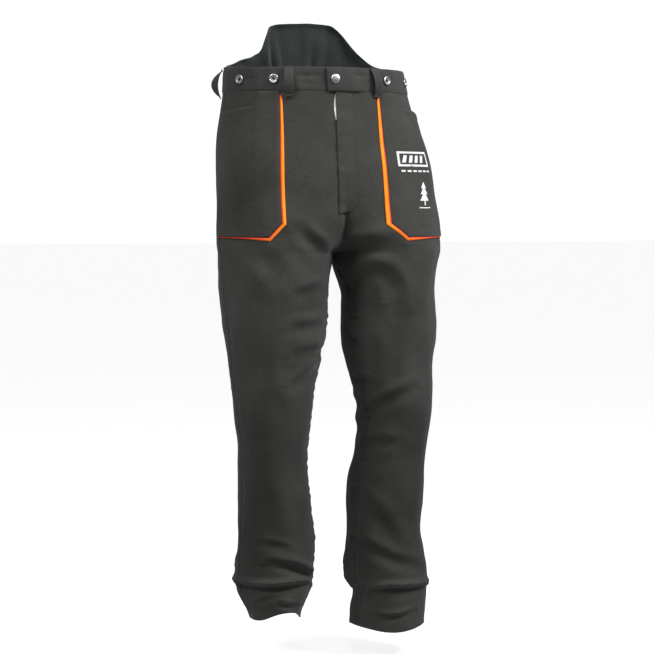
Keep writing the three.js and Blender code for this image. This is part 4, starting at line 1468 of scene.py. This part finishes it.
badge = [
    inkShape("badgeFrame", slab(0.12, 0.58, -150, -177), [slab(0.145, 0.555, -153.5, -173.5)]),
    *(inkShape(f"badgeBar{k}", slab(0.17 + 0.085 * k, 0.215 + 0.085 * k, -157, -170, 0.03)) for k in range(4)),
    *(inkShape(f"badgeDash{k}", slab(0.15 + 0.075 * k, 0.2 + 0.075 * k, -184, -187)) for k in range(6)),
]
pine = [
    inkShape("pineTop", [(0.42, -205), (0.46, -217), (0.38, -217)]),
    inkShape("pineMiddle", [(0.42, -213), (0.475, -228), (0.365, -228)]),
    inkShape("pineFoot", [(0.42, -222), (0.49, -240), (0.35, -240)]),
    inkShape("pineTrunk", slab(0.41, 0.43, -240, -248)),
    inkShape("pineGround", slab(0.33, 0.51, -252, -253.6)),
]
for name, parts in (("pocketBadge", badge), ("pocketPine", pine)):
    ink = joined(name, parts)
    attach(ink, "trunk")
print("prints on")

# the CAD pieces that stay are given a look
kept = {
    "shell": ["fly_facing", "fly_shield"],
    "tape": ["zip_tape_right", "zip_tape_left"],
    "nickel": ["zip_slider", "zip_pull"],
}
for look, nodes in kept.items():
    for node in nodes:
        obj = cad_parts[node]
        obj.data.materials.clear()
        obj.data.materials.append(looks[look])

camera = {"azimuth": -18, "distance": 3.6, "height": -0.25, "pictureWidth": 1.223, "aimHeight": -0.4755,
          "aimAcross": 24 * mm, "film": 36}
stage = {"floor": -1.10, "size": 80, "glow": 0.82, "ambient": 0.27, "backdrop": 1.05, "lightAim": -0.1}

deselect()
bpy.ops.mesh.primitive_plane_add(size=stage["size"], location=(0, 0, stage["floor"]))
floor = bpy.context.object
floor.name = "floor"
floorLook = Look("paleFloor", roughness=0.7)
grain = floorLook.noise(3, 2)
floorLook.colour(floorLook.ramp(grain, [(0.3, 0.40), (0.7, 0.42)]))
glow = floorLook.add("ShaderNodeLightPath") * stage["glow"]
floorLook.shader.inputs["Emission Color"].default_value = (1, 1, 1, 1)
floorLook.feed(floorLook.shader.inputs["Emission Strength"], glow)
floor.data.materials.append(floorLook.material)
floor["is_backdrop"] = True

world = bpy.data.worlds.new("studio")
bpy.context.scene.world = world
world.use_nodes = True
background = world.node_tree.nodes["Background"]
background.inputs["Color"].default_value = (1, 1, 1, 1)
seen = world.node_tree.nodes.new("ShaderNodeLightPath")
strength = world.node_tree.nodes.new("ShaderNodeMapRange")
strength.inputs["To Min"].default_value = stage["ambient"]
strength.inputs["To Max"].default_value = stage["backdrop"]
world.node_tree.links.new(seen.outputs["Is Camera Ray"], strength.inputs["Value"])
world.node_tree.links.new(strength.outputs["Result"], background.inputs["Strength"])
bpy.context.scene.view_settings.view_transform = "Standard"


def softbox(name, azimuth, height, away, size, power):
    turn = math.radians(azimuth)
    place = Vector((math.sin(turn) * away, -math.cos(turn) * away, height))
    deselect()
    bpy.ops.object.light_add(type="AREA", location=place)
    light = bpy.context.object
    light.name = name
    light.data.shape = "RECTANGLE"
    light.data.size, light.data.size_y = size
    light.data.energy = power
    light.rotation_euler = (Vector((0, 0, stage["lightAim"])) - place).to_track_quat("-Z", "Y").to_euler()


softbox("keyLight", 46, 1.45, 2.1, (0.8, 0.8), 74)
softbox("fillLight", -60, 1.45, 2.1, (0.8, 0.8), 30)
softbox("topLight", -14, 2.0, 1.5, (1.2, 0.7), 18)

turn = math.radians(camera["azimuth"])
away = Vector((math.sin(turn), -math.cos(turn), 0))
target = Vector((math.cos(turn), math.sin(turn), 0)) * camera["aimAcross"]
target.z = camera["aimHeight"]
lens = bpy.data.cameras.new("camera")
lens.sensor_width = camera["film"]
sight = math.hypot(camera["distance"], camera["height"] - camera["aimHeight"])
lens.lens = camera["film"] * sight / camera["pictureWidth"]
viewer = bpy.data.objects.new("camera", lens)
bpy.context.scene.collection.objects.link(viewer)
viewer.location = Vector((target.x, target.y, camera["height"])) + away * camera["distance"]
aim = target - viewer.location
viewer.rotation_euler = aim.to_track_quat("-Z", "Y").to_euler()
bpy.context.scene.camera = viewer

low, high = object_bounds()
